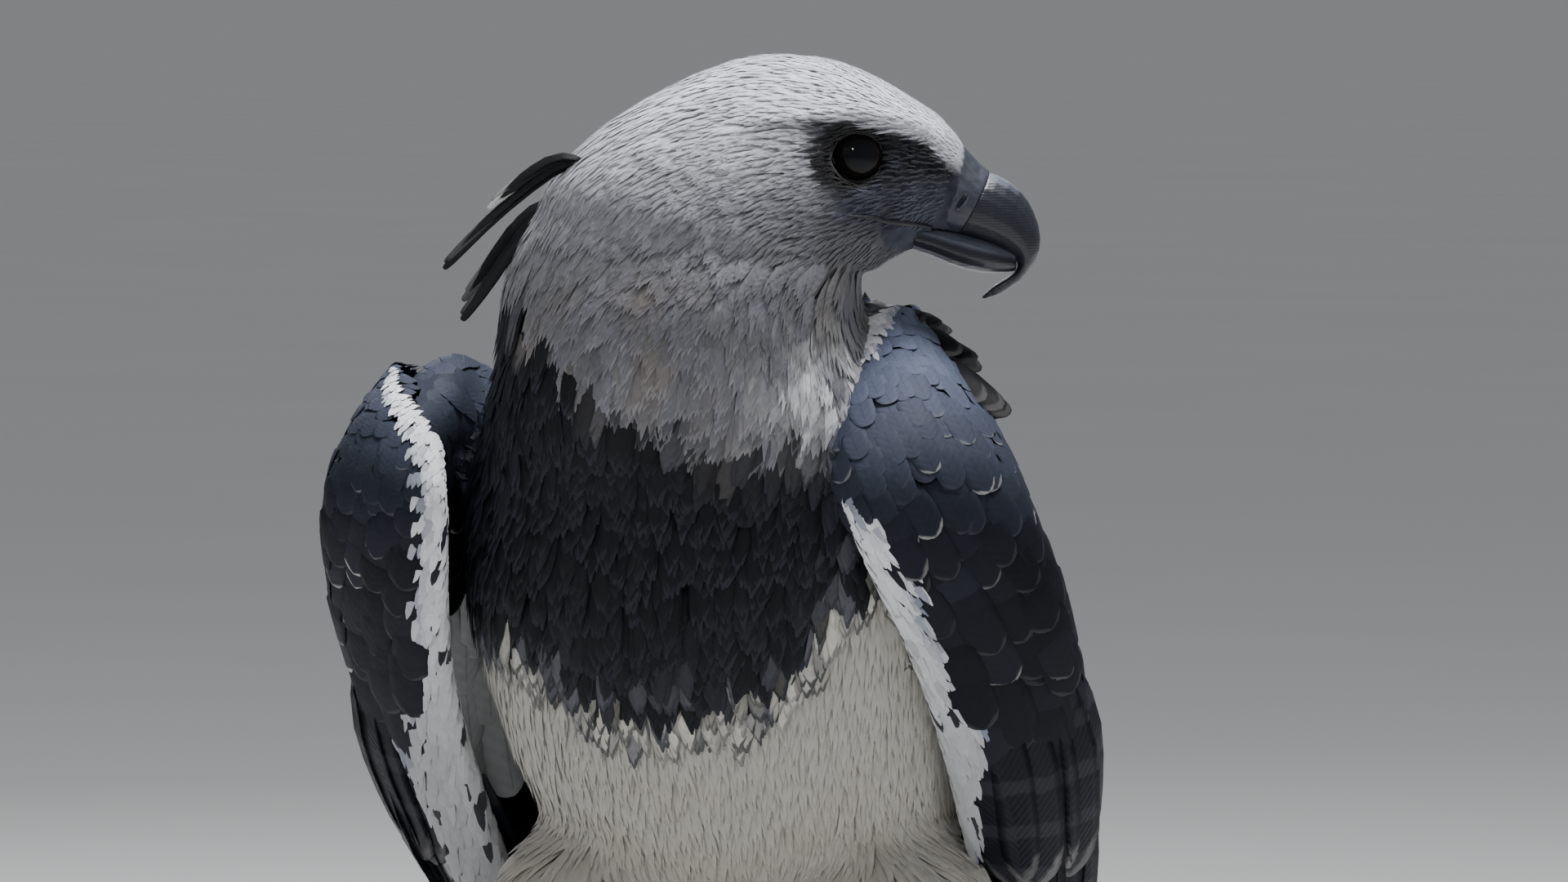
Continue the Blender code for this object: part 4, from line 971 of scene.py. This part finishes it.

# Breast, belly and back
# The breast is black with faint scallops, the belly white and almost seamless, and the
# back slate with narrow pale edges. The belly's white is painted darker, as painted shade.

body_axis = (trunk_place + (0, -0.04, 0.60), trunk_place + (0, 0.14, 0.24))
bib_gap = skin_points[:, 2] - np.interp(angle, *bib_edge)
trunk = np.isin(skin_part, ("torso", "neck"))
breast = trunk & ~grey_side & (~behind | (skin_part == "neck")) & (bib_gap > -0.006)
dense = plumage("breast", "dark", barbs=34.0, slope=5.0, roughness=0.70, sheen=0.0, gloss=0.12)
coat("breast_feathers", breast, 0.0070, 0.034, 0.0095, 0.0060, dense, body_axis, 14,
     profile=(0.7, 1.0, 1.0, 0.92, 0.68, 0.12), spread=0.09, rim=(0.018, 0.020, 0.027), rim_share=0.9,
     tint=0.12, droop=0.10, strands=3, fan=0.06)
downy = plumage("belly", "pale", barbs=24.0, slope=3.0, roughness=0.85, sheen=0.3, gloss=0.10,
                relief=0.00008, vary=0.35)
coat("belly_feathers", trunk & ~behind & (bib_gap <= 0.004), 0.0032, 0.031, 0.0024, 0.0048, downy, body_axis,
     15, spread=0.09, soft=0.96, tint=0.004, droop=0.06, sink=0.002, profile=(0.6, 1.0, 0.9, 0.55, 0.06),
     rounded=0.8)
mantle = plumage("mantle", "dark", barbs=40.0, slope=6.0, roughness=0.5, sheen=0.0, gloss=0.2)
coat("back_feathers", (skin_part == "torso") & behind, 0.0090, 0.042, 0.0105, 0.0085, mantle, body_axis, 16,
     profile=(0.5, 0.85, 1.0, 1.0, 0.96, 0.82, 0.55, 0.14), spread=0.08, soft=0.15,
     rim=(0.20, 0.20, 0.205), rim_share=0.5, tint=0.10, droop=0.2)

# Thighs
# Long loose feathers, white with fine black bars, that hang over the top of the shank.

hands = ((1, "left"), (-1, "right"))    # the bird's two sides, and which way is out
for side, label in hands:
    low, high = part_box(f"thigh_{label}")
    middle = middle_of(f"thigh_{label}")
    coat(f"thigh_feathers_{label}", skin_part == f"thigh_{label}", 0.0046, 0.030, 0.0027, 0.0062, downy,
         ((middle[0], middle[1], high[2]), (middle[0], middle[1], low[2])), 17 + side, spread=0.10, soft=0.5,
         tint=0.02, length_of=lambda points: np.interp(points[:, 2], (0.13, 0.20, 0.30), (0.45, 0.8, 1.1)))

# Wings
# Each wing hangs half folded. Small coverts cover the arm in rows, longer ones lie over
# the roots of the flight feathers, and the front edge and the lining are white.

wing_reach = 0.56               # metres along the wing from shoulder to tip
wing_girth = 0.17               # metres round the outside from front edge to rear edge
broad_across = (-1.0, -0.72, -0.36, 0.0, 0.36, 0.72, 1.0)
# The cut of each kind: places across, places along, and the share of the full width there.
tuft_cut = (tuft_across, (0.0, 0.3, 0.6, 0.85, 1.0), (0.5, 0.95, 1.0, 0.75, 0.12))
covert_lines = ((0.0, 0.25, 0.5, 0.70, 0.84, 0.93, 0.98, 1.0),
                (0.55, 0.85, 1.0, 1.0, 0.90, 0.68, 0.40, 0.10))
covert_cut = ((-1.0, -0.6, -0.2, 0.2, 0.6, 1.0), *covert_lines)
flight_cut = (broad_across, (0.0, 0.12, 0.25, 0.4, 0.55, 0.70, 0.82, 0.90, 0.95, 0.98, 1.0),
              (0.35, 0.70, 0.92, 1.0, 1.0, 0.98, 0.92, 0.80, 0.62, 0.38, 0.08))
# The white of the front edge along each wing: how far it comes over the outside, and inside.
white_front = {
    1: ((0.0, 0.03, 0.05, 0.075, 0.09, 0.18, 0.20, 0.24, 0.30, 0.40, 0.46, 0.52, 0.57),
        (0.28, 0.22, 0.14, 0.05, -0.08, -0.08, 0.02, 0.11, 0.08, 0.12, 0.14, 0.10, -0.1)),
    -1: ((0.0, 0.03, 0.06, 0.10, 0.15, 0.20, 0.30, 0.40, 0.50, 0.57, 0.62, 0.66),
         (0.30, 0.31, 0.22, 0.08, 0.04, 0.04, 0.07, 0.14, 0.29, 0.30, 0.20, 0.0)),
}
white_back = {
    1: ((0.0, 1.0), (-0.36, -0.36)),
    -1: ((0.0, 0.03, 0.06, 0.10, 0.30, 0.40), (0.30, 0.20, 0.08, -0.04, -0.06, -0.36)),
}
covert_edge = np.array([0.34, 0.33, 0.33])
lining_grey = np.array([0.30, 0.30, 0.31])


def wing_colour(side, s, t, chance):
    """Ground colour, rim share and bars of wing feathers whose roots are at s and t."""
    # The blue at the top of the wing is partly painted sheen.
    blue_and_sheen = step_up(0.25, 0.0, t + 0.06 * (chance - 0.5))
    # Painted shade on the bird's right wing, which gets less blue, and a painted highlight on the top of the
    # left wing.
    blue_and_sheen = blue_and_sheen * (0.62 if side < 0 else 1.0) + 0.9 * step_up(0.13, 0.0, t) * (side > 0)
    colour = shade(slate, slate_blue_and_sheen, np.clip(blue_and_sheen + 0.12 * (chance - 0.5), 0, 2))
    colour = colour * (0.8 + 0.4 * chance)[:, None]
    rim = np.where(chance > 0.68, (chance - 0.68) / 0.32, 0.05) * step_up(0.05, 0.25, t)
    around = np.mod(s + 0.5, 2) - 0.5
    inside = ((around > 1.10) & (t > 0.33)) | ((around < -0.08) & (t > 0.34))
    lining = shade(tuft_white, lining_grey, chance * step_up(0.4, 0.6, t))
    colour = np.where(inside[:, None], lining, colour)
    return colour, np.where(inside, 0.0, rim), np.where(inside, 0.5 * step_up(0.48, 0.58, t), 0.0)


def edge_colour(side, s, t, chance):
    """The same for the small feathers of the white front edge, painted darker down the wing as painted
    shade, with a few dark spots low down.
    """
    # Painted shade: the white darkens to less than half down the wing.
    colour = tuft_white * ((0.94 - 0.14 * chance) * np.interp(t, (0.20, 0.45), (1.0, 0.45)))[:, None]
    near = step_up(0.06, 0.0, np.interp(t, *white_front[side]) - s)
    colour = shade(colour, slate_blue_and_sheen * 1.6, 0.85 * near * np.mod(chance * 7, 1))
    colour = np.where(((chance > 0.96) & (t > 0.22))[:, None], slate, colour)
    return np.where(((chance < 0.10) & (t > 0.30))[:, None], lining_grey, colour), 0.0, 0.0


def lay_on_wing(name, side, s, t, lengths, halves, low, high, drift, finish, cut, seed, colours=None,
                twist=0.10, droop=0.25, soft=0.0, rise=0.7):
    """One piece of feathers laid down the wing from roots at s and t.

    Their heights over the wing run from low at the root to high, and they drift sideways in s.
    """
    chance = np.random.default_rng(seed).random(len(s))
    v = np.array(cut[1])[:, None]
    along = np.minimum(t + v * lengths / wing_reach, 0.999)
    around = s + v * drift
    outs = wing_out(side, around, along)
    thin = 1 - 0.72 * step_up(0.5, 1.0, along)
    heights = (low + (high - low) * np.minimum(v * 1.54 / rise, 1) ** rise) * thin
    ground, rim_share, bars = colours or wing_colour(side, s, t, chance)
    chart = 0.02 + 0.96 * np.stack([np.mod(s, 2) / 2, np.clip(t, 0, 1)], axis=1)
    feathers(name, wing_point(side, around, along), outs, halves, heights, cut, ground, covert_edge,
             rim_share, bars, chart, finish, droop, twist * side * np.minimum(v * 3, 1), soft)


def covert_wide(t):
    """The width of the coverts, in metres, which grows down the wing."""
    return 0.0062 + 0.027 * t


def edge_wide(t):
    """The width of the small feathers of the front edge."""
    return 0.0030 + 0.003 * t


coverts = plumage("covert", "dark", barbs=46.0, slope=9.0, roughness=0.58, sheen=0.0,
                  gloss=0.05, shaft=0.25, relief=0.00008, rim_from=0.965, vary=0.55)
quills = plumage("flight", "dark", barbs=170.0, slope=30.0, roughness=0.50, sheen=0.0,
                 gloss=0.06, shaft=0.7, rim_from=0.955, bands=(4.5, 0.6, 0.22, (0.050, 0.050, 0.056)))
# Feathers of the shoulder that stand proud of the wing's outline: place round and down the
# wing, length, half width and how proud, in metres.
proud_tips = {
    1: ((0.40, 0.000, 0.026, 0.0070, 0.0030), (0.48, 0.000, 0.030, 0.0080, 0.0050),
        (0.56, 0.004, 0.034, 0.0080, 0.0060), (0.50, 0.018, 0.040, 0.0085, 0.0060),
        (0.56, 0.028, 0.042, 0.0085, 0.0085), (0.62, 0.036, 0.044, 0.0085, 0.0070),
        (0.50, 0.052, 0.048, 0.0090, 0.0045), (0.55, 0.062, 0.052, 0.0095, 0.0075),
        (0.60, 0.074, 0.054, 0.0100, 0.0080), (0.66, 0.082, 0.056, 0.0100, 0.0060)),
    -1: ((0.40, 0.030, 0.034, 0.0060, 0.0020), (0.46, 0.050, 0.036, 0.0060, 0.0020))}
# Greater coverts, secondaries and primaries, a row each: count, first and last s, root t,
# first and last tip t, half width, height low and high.
flight_rows = {m: ((13, first, 0.98, 0.40, 0.60, 0.60, 0.0150, -0.004, 0.0050),
                   (13, first - 0.02, 1.00, 0.46, 0.70, 0.68, 0.0165, -0.004, 0.0030),
                   (14, 0.36, 1.00, 0.50, 0.93, 0.80, 0.0185, -0.006, 0.0002),
                   (10, 0.04, 0.52, 0.52, 1.00, 0.94, 0.0150, -0.008, -0.0030))
               for m, first in ((1, 0.16), (-1, 0.30))}
for side, label in hands:
    draw = np.random.default_rng(40 + side)

    def in_rows(first_t, last_t, length_at, width_at, first_s, last_s, overlap, closeness):
        """Staggered rows of roots down the wing, with the length of each feather."""
        s_all, t_all, row, t = [], [], 0, first_t
        while t < last_t:
            gap = closeness * width_at(t) / wing_girth
            s = np.arange(first_s + (row % 2) * gap / 2, last_s, gap)
            s_all.append(s + draw.normal(0, 0.13, len(s)) * gap)
            t_all.append(t + draw.normal(0, 0.13, len(s)) * length_at(t) / wing_reach)
            t += overlap * length_at(t) / wing_reach
            row += 1
        s, t = np.concatenate(s_all), np.maximum(np.concatenate(t_all), 0.0)
        return s, t, length_at(t) * draw.uniform(0.88, 1.15, len(s))

    s, t, lengths = in_rows(0.004, 0.50, lambda t: 0.016 + 0.080 * t, covert_wide, -0.98, 1.02, 0.30, 1.05)
    outside = np.mod(s + 0.5, 2) - 0.5
    kept = ((outside > np.interp(t, *white_front[side]) - 0.02)
            | (outside < np.interp(t, *white_back[side]) - 0.02))
    root_out = np.abs(wing_point(side, s, t)[:, 0] - trunk_place[0])
    kept &= (t > 0.20) | (outside > 0.0) & (outside < 0.98) & ((root_out > 0.126) | (t > 0.07)) | (side > 0)
    s, t, lengths = s[kept], t[kept], lengths[kept]
    proud = (0.0026 + 0.003 * t) * draw.uniform(0.8, 1.25, len(s))
    lay_on_wing(f"coverts_{label}", side, s, t, lengths, covert_wide(t) * 0.66, -0.0040, proud,
                0.035 * np.sign(outside[kept] + 0.02), coverts, covert_cut, 50 + side, twist=0.05,
                droop=0.14, soft=0.6)
    s, t, lengths = in_rows(0.0, 0.66, lambda t: 0.012 + 0.020 * t, edge_wide, -0.36, 0.42, 0.26, 0.9)
    fingers = np.maximum(np.sin(t * 230 + side), 0) ** 2 * draw.uniform(0.4, 1, len(s))
    front = np.interp(t, *white_front[side]) + (0.065 if side < 0 else 0.030) * fingers
    kept = (s < front) & (s > np.interp(t, *white_back[side]))
    s, t, lengths = s[kept], t[kept], lengths[kept]
    spots = edge_colour(side, s, t, np.random.default_rng(55 + side).random(len(s)))
    lay_on_wing(f"edge_feathers_{label}", side, s, t, lengths * 1.2, edge_wide(t) * 0.48, -0.0030,
                0.0034 * draw.uniform(0.9, 1.1, len(s)), 0.030, downy, tuft_cut, 55 + side, spots,
                twist=0.0, droop=0.10, soft=0.92)
    # The skin under the white edge is white too.
    under = KDTree(len(s))
    for index, point in enumerate(wing_point(side, s, t + 0.3 * lengths / wing_reach)):
        under.insert(point, index)
    under.balance()
    near = np.array([under.find(point)[2] < 0.005 and point[2] < 0.545 for point in skin_points[on_wing]])
    shown[np.flatnonzero(on_wing)[near], :3] = tuft_white * 0.8
    s, t, lengths, halves, proud = np.transpose(proud_tips[side])
    tip_ground = slate * draw.uniform(0.25, 0.5, len(s))[:, None]
    lay_on_wing(f"shoulder_tips_{label}", side, s, t, lengths, halves, -0.0020, proud, 0.02, dense,
                (broad_across, *covert_lines), 58 + side, (tip_ground, 0.1, 0.0),
                twist=1.3 if side > 0 else 0.8, rise=1.4)
    blocks = []
    for count, first, last, root, tip_first, tip_last, half, low, high in flight_rows[side]:
        blocks.append((np.linspace(first, last, count), np.full(count, root),
                       (np.linspace(tip_first, tip_last, count) - root) * wing_reach, np.full(count, half),
                       np.full(count, low), high + 0.0010 * (np.arange(count) % 2)))
    s, t, lengths, halves, low, high = map(np.concatenate, zip(*blocks))
    chance = draw.random(len(s))
    lay_on_wing(f"flight_feathers_{label}", side, s, t, lengths, halves, low, high, 0.0, quills, flight_cut,
                60 + side, (slate * (0.75 + 0.4 * chance)[:, None], 0.12 + 0.3 * chance, 0.0),
                twist=0.12, droop=0.10)

note(skin_mesh, "ground", "FLOAT_COLOR", shown)

# Shoulders and scapulars
# Small blue-grey feathers round off each shoulder, their blue partly painted sheen. Longer
# ones from there lie over the groove between back and wing.

x_out = np.abs(skin_points[:, 0] - trunk_place[0])
y_back = skin_points[:, 1] - trunk_place[1]
z_up = skin_points[:, 2]
shoulder = ((on_wing | (skin_part == "torso")) & (z_up > 0.510) & (skin_outs[:, 2] > -0.5) & (x_out > 0.055))
coat("shoulder_feathers", shoulder, 0.0034, 0.025, 0.0050, 0.0028, coverts, body_axis, 18, sink=0.0003,
     profile=(0.6, 1.0, 1.0, 0.9, 0.6, 0.10), spread=0.03, soft=0.95, rim=slate_blue_and_sheen * 1.3, rim_share=0.2,
     tint=0.08, droop=0.08)
groove = ((x_out > 0.018) & (x_out < 0.092) & (y_back > 0.02) & (skin_outs[:, 1] > 0.05) & (z_up > 0.34)
          & ~np.isin(skin_part, ("neck", "head", "tail")))
long_profile = (0.5, 0.8, 0.96, 1.0, 1.0, 0.94, 0.80, 0.52, 0.12)
coat("scapulars", groove, 0.0125, 0.066, 0.0135, 0.0135, mantle, body_axis, 19, profile=long_profile,
     spread=0.07, soft=0.1, rim=(0.22, 0.22, 0.225), rim_share=0.6, tint=0.12, droop=0.15, sink=0.001)

# Tail
# Twelve long feathers lie over one another, the middle pair on top. They are black with
# three grey bars and a pale tip.

tail_quills = plumage("tail", "dark", barbs=200.0, slope=30.0, roughness=0.45, sheen=0.1,
                      gloss=0.45, shaft=0.6, bands=(3.6, 1.1, 0.9, (0.17, 0.167, 0.17)))
tail_start = 0.10
tail_cut = ((-1.0, -0.8, -0.5, -0.2, 0.0, 0.2, 0.5, 0.8, 1.0),
            (0.0, 0.06, 0.12, 0.2, 0.3, 0.4, 0.5, 0.6, 0.7, 0.8, 0.87, 0.92, 0.955, 0.98, 0.993, 1.0),
            (0.30, 0.45, 0.60, 0.75, 0.88, 0.96, 1.0, 1.0, 1.0, 1.0, 0.97, 0.90, 0.78, 0.58, 0.36, 0.10))
order = np.arange(12)
rank = order // 2
t = tail_start + (1.0 - 0.007 * rank - tail_start) * np.array(tail_cut[1])[:, None]
fan = np.where(order % 2, 1, -1) * (0.085 + 0.17 * rank)
lines, outs = tail_at(np.broadcast_to(fan, t.shape), t)
stack = -0.0010 - 0.00075 * np.broadcast_to(order, t.shape)
chart = np.stack([0.5 + fan * 0.48, np.full(len(fan), 0.2)], axis=1)
tail = feathers("tail_feathers", lines, outs, 0.0245, stack, tail_cut, bib_black, (0.42, 0.41, 0.40), 0.9,
                0.0, chart, tail_quills, droop=0.05)
# Coverts above and below hide the roots.
tail_axis = (trunk_place + (0, 0.13, 0.31), trunk_place + (0, 0.32, 0.12))
at_tail = skin_part == "tail"
upper = at_tail & (skin_outs[:, 2] > -0.15)
coat("tail_coverts", upper, 0.0100, 0.060, 0.0125, 0.0060, mantle, tail_axis, 23, profile=long_profile,
     spread=0.06, soft=0.1, rim=(0.34, 0.33, 0.32), rim_share=0.8, tint=0.1, droop=0.2)
coat("vent_feathers", at_tail & ~upper, 0.0060, 0.050, 0.0062, 0.0075, downy, tail_axis, 24,
     profile=(0.5, 0.8, 0.96, 1.0, 0.9, 0.6, 0.12), spread=0.10, soft=0.4, tint=0.03)

# Crest
# Two groups of long black feathers stand out from the back of the head. They bend
# downwards, and the shorter upper one ends in a pale frayed tip.

crest_rows = np.array((0.0, 0.15, 0.3, 0.45, 0.6, 0.74, 0.85, 0.93, 0.98, 1.0))
crest_cut = (broad_across, crest_rows, (0.50, 0.80, 0.96, 1.0, 1.0, 0.96, 0.90, 0.80, 0.62, 0.30))
crest_apart = (-0.0012, -0.0004, -0.0008, 0.0018, 0.0024, 0.0014)
crest_groups = (
    # path as forward and up, half width, sideways start and end, lengths, pale tips
    (((-0.1180, -0.0020), (-0.1340, -0.0085), (-0.1560, -0.0255), (-0.1790, -0.0482)), 0.0021, -0.014,
     -0.020, (1.0, 0.95, 0.98, 0.70, 0.66, 0.62), (0.0, 0.1, 0.1, 0.9, 0.5, 0.7)),
    (((-0.1290, -0.0200), (-0.1440, -0.0360), (-0.1580, -0.0560), (-0.1700, -0.0715)), 0.0022, 0.008,
     0.014, (1.0, 0.95, 0.98, 0.90, 0.84, 0.66), (0.0, 0.1, 0.1, 0.2, 0.3, 0.2)),
)
lines, halves, tips = [], [], []
for path, half, start, end, lengths, pale in crest_groups:
    for k, (length, tip_share) in enumerate(zip(lengths, pale)):
        spots = curve_at(path, crest_rows * 3 * length)
        spots = spots + np.outer(np.minimum(crest_rows * 2.5, 1) * crest_apart[k], (-0.6, 0.8))
        fan = start + (end - start) * (k / (len(lengths) - 1)) + crest_rows * (k - 2.5) * 0.0020
        lines.append(on_head(spots[:, 0], spots[:, 1] + 0.0008 * k * np.minimum(1, crest_rows * 3), fan))
        halves.append(half * (1 - 0.05 * (k % 3)))
        tips.append(tip_share)
lines = np.array(lines).transpose(1, 0, 2)
outs = np.broadcast_to(unit(head_left * -0.85 + up_axis * 0.5), lines.shape)
crest_plumage = plumage("crest", "dark", barbs=90.0, slope=16.0, roughness=0.50, sheen=0.0,
                        gloss=0.15, shaft=0.4, rim_from=0.86)
crest = feathers("crest_feathers", lines, outs, np.array(halves), np.zeros(lines.shape[:2]), crest_cut,
                 bib_black * 0.8, (0.36, 0.36, 0.36), tips, 0.0, round_chart(lines[0], *head_axis),
                 crest_plumage, droop=0.22)

# Eyes
# Glossy dark eyes, almost black, set deep under the brow. A faint bluish disc in the
# middle, behind a clear domed front, is a painted reflection of the sky in the pupil.

eye_radius = 0.0137
for side, label in hands:
    centre = middle_of(f"eye_{label}")
    shape = bmesh.new()
    bmesh.ops.create_uvsphere(shape, u_segments=48, v_segments=32, radius=eye_radius)
    for point in shape.verts:
        point.co *= 1 + 0.10 * max(0.0, point.co.z / eye_radius - 0.72)
    facing = Vector(head_left * side + head_ahead * 0.14 + up_axis * 0.02).normalized()
    turn = facing.to_track_quat("Z", "Y").to_matrix().to_4x4()
    bmesh.ops.transform(shape, matrix=turn, verts=shape.verts)
    bmesh.ops.translate(shape, vec=Vector(centre), verts=shape.verts)
    glass = Finish(f"eye_{label}_glass", "eye", Roughness=0.03, Specular_IOR_Level=0.11)
    offset = glass.vector("SUBTRACT", {0: glass.place(), 1: tuple(centre)})
    toward = glass.vector("DOT_PRODUCT", {0: offset, 1: tuple(facing)}, "Value")
    # The front of the eye is painted a faint bluish disc, a painted reflection of the sky.
    ring = (toward - eye_radius * 0.90) * (1 / (eye_radius * 0.035))
    iris = glass.blend(glass.noise(700.0, 4.0), (0.002, 0.002, 0.002), (0.009, 0.007, 0.006))
    glass.feed(Base_Color=glass.blend(ring.clamp(), iris, (0.0045, 0.005, 0.0065)))
    placed(f"eyeball_{label}", mesh_of(f"eyeball_{label}", shape), glass, f"eye_{label}")

# Eyelids
# A narrow rim of bare dark skin closes round each eye, flattened above where the brow
# presses on it and drawn to a point in front.

lid_skin = Finish("lid_skin", "cere", Roughness=0.5, Specular_IOR_Level=0.4)
wrinkle = lid_skin.noise(1400.0, 4.0)
lid_skin.feed(Base_Color=lid_skin.blend(wrinkle, (0.0045, 0.0048, 0.0060), (0.016, 0.017, 0.021)))
lid_skin.bump(wrinkle, 0.6, 0.0003)
turn = np.linspace(0, 2 * np.pi, 40, endpoint=False)
for side, label in hands:
    rings = []
    # Rings across the lid from its edge on the eye: reach and outward place, in metres.
    for grow, proud in ((0.0110, 0.0072), (0.0112, 0.0086), (0.0122, 0.0090), (0.0138, 0.0080),
                        (0.0154, 0.0058), (0.0158, 0.0030)):
        forward = grow * (np.cos(turn) * 1.04 + 0.16 * np.maximum(np.cos(turn), 0) ** 6)
        rise = grow * np.sin(turn) * np.where(np.sin(turn) > 0, 0.90, 1.0)
        out = eye_reach + proud - 0.10 * forward - 0.0012 * (rise < 0)
        rings.append(on_head(forward, rise, out * side))
    lid = placed(f"eyelid_{label}", mesh_of(f"eyelid_{label}", closed_loft(rings, True)), lid_skin)
    rounding = lid.modifiers.new("round", "SUBSURF")
    rounding.levels = 2
    rounding.render_levels = 2

# Bill
# Dark horn over the whole bill, with a soft cere round the nostrils at its base. The
# hook comes well down in front of the lower bill.


def smooth_copy(name, node, finish, grain, passes, swell=0.0):
    """A finely remeshed, smoothed copy of a CAD node, with its facets eased."""
    made = placed(name, mesh_of(name, flesh_copy(node, swell)), finish, node)
    remeshed(made, grain, passes).shade_smooth()
    return made


horn = Finish("bill_horn", "horn", Specular_IOR_Level=0.36)
drift = horn.noise(90.0, 4.0)
fine = horn.noise(600.0, 4.0)
growth = horn.node("ShaderNodeTexWave", {"wave_type": "BANDS", "bands_direction": "Z"},
                   {"Vector": horn.place(), "Scale": 260.0, "Distortion": 3.0, "Detail": 3.0}, "Fac")
base = horn.blend(drift, (0.004, 0.0045, 0.0065), (0.015, 0.017, 0.024))
worn = horn.blend(growth * fine * 0.4, base, (0.035, 0.039, 0.051))
# Painted highlight: the horn is painted paler where the ridge value marks surfaces facing up, along the
# culmen.
horn.feed(Base_Color=horn.blend(horn.read("ridge") * (drift * 0.5 + 0.35), worn, (0.19, 0.21, 0.26)),
          Roughness=fine * 0.25 + 0.22)
horn.bump(fine * 0.6 + growth * 0.4, 0.35, 0.00025)
for name, node in (("upper_bill", "bill_upper"), ("lower_bill", "bill_lower")):
    piece = smooth_copy(name, node, horn, 0.0006, 8, 0.0002)
    points, outs = read_points(piece.data)
    # Smoothing has thinned the hook, and the lower bill closes up to the upper one. The ridge
    # value marks the surfaces that face up, which the horn paints paler as a painted highlight.
    if name == "upper_bill":
        gap = np.linalg.norm(points - points[np.argmin(points[:, 2])], axis=1)
        points += outs * (0.0013 * hump(gap / 0.014) * np.minimum(1, 0.25 + gap / 0.008))[:, None]
        ridge = step_up(0.50, 0.92, outs[:, 2])
    else:
        points[:, 2] += 0.0016 * step_up(0.2, 0.7, outs[:, 2])
        ridge = 0.6 * step_up(0.30, 0.60, outs[:, 2])
    piece.data.vertices.foreach_set("co", points.ravel())
    note(piece.data, "ridge", "FLOAT", ridge)

wax = Finish("cere_skin", "cere", Specular_IOR_Level=0.45)
blotch = wax.noise(240.0, 5.0)
pores = wax.node("ShaderNodeTexVoronoi", None, {"Vector": wax.place(), "Scale": 1500.0}, "Distance")
wax.feed(Base_Color=wax.blend(blotch, (0.006, 0.007, 0.010), (0.034, 0.039, 0.057)),
         Roughness=blotch * 0.25 + 0.33)
wax.bump(blotch * 0.6 + pores * 0.4, 0.45, 0.0003)
smooth_copy("cere_soft", "cere", wax, 0.0006, 6, 0.0004)

# The line of the mouth is a dark fold of soft skin that runs back under the eye.
mouth_out = (0.0420, 0.0385, 0.0350, 0.0290, 0.0250, 0.0212)
mouth_line = np.column_stack([mouth, mouth_out])[::-1]
fold_thick = 0.0012
turn = np.linspace(0, 2 * np.pi, 10, endpoint=False)
for side, label in hands:
    out = head_left * side
    hugged = []
    for f, u, w in curve_at(mouth_line, np.linspace(0, 5, 16)):
        near, away, _, _ = skin_tree.ray_cast(Vector(on_head(f, u, 0.08 * side)), Vector(-out))
        if near is None:
            near, away, _, _ = skin_tree.find_nearest(Vector(on_head(f, u, w * side)))
        hugged.append(np.array(near) + np.array(away) * 0.0010)
    rings = []
    for k, (spot, way) in enumerate(zip(hugged, unit(np.gradient(np.array(hugged), axis=0)))):
        size = fold_thick * min(1, 0.35 + k * 0.3, 0.15 + (15 - k) * 0.25)
        rings.append(spot + np.outer(np.cos(turn) * size * 0.8, out)
                     + np.outer(np.sin(turn) * size, np.cross(way, out)))
    placed(f"gape_{label}", mesh_of(f"gape_{label}", closed_loft(rings)), lid_skin)

# Legs and feet
# Thick yellow shanks and toes, with broad plates down the front and over the toes and
# small rounded scales elsewhere. The talons are black horn.

leg_skin = Finish("leg_skin", "leg_skin", Specular_IOR_Level=0.4)
cells = leg_skin.node("ShaderNodeTexVoronoi", {"feature": "DISTANCE_TO_EDGE"},
                      {"Vector": leg_skin.place(), "Scale": 330.0}, "Distance")
crease = (cells * 9.0).clamp()
dirt = leg_skin.noise(120.0, 5.0)
yellow = leg_skin.blend(dirt, (0.60, 0.43, 0.10), (0.72, 0.56, 0.22))
leg_skin.feed(Base_Color=leg_skin.blend(crease, (0.30, 0.20, 0.06), yellow), Roughness=dirt * 0.3 + 0.42)
leg_skin.bump(crease, 0.7, 0.0006)
talon_horn = Finish("talon_horn", "horn", Specular_IOR_Level=0.55, Coat_Weight=0.2, Coat_Roughness=0.2)
wear = talon_horn.noise(400.0, 4.0)
talon_horn.feed(Base_Color=talon_horn.blend(wear, (0.008, 0.008, 0.009), (0.035, 0.033, 0.032)),
                Roughness=wear * 0.3 + 0.18)
talon_horn.bump(wear, 0.3, 0.0003)
for _, label in hands:
    smooth_copy(f"leg_{label}", f"shank_{label}", leg_skin, 0.0012, 6)
    smooth_copy(f"toes_{label}", f"foot_{label}", leg_skin, 0.0012, 5)
    for toe in ("inner", "middle", "outer", "hind"):
        smooth_copy(f"talon_{toe}_{label}", f"claw_{toe}_{label}", talon_horn, 0.0008, 4)

# The solids that the skin, the crest and the tail feathers stand for.
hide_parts("torso", "neck", "head", "thigh_left", "thigh_right", "wing_left", "wing_right", "tail")
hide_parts("crest")
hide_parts("tail")

# The model's size before and after dressing.
size = {"cad": [list(map(float, corner)) for corner in cad_size],
        "dressed": [list(map(float, corner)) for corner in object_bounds()]}
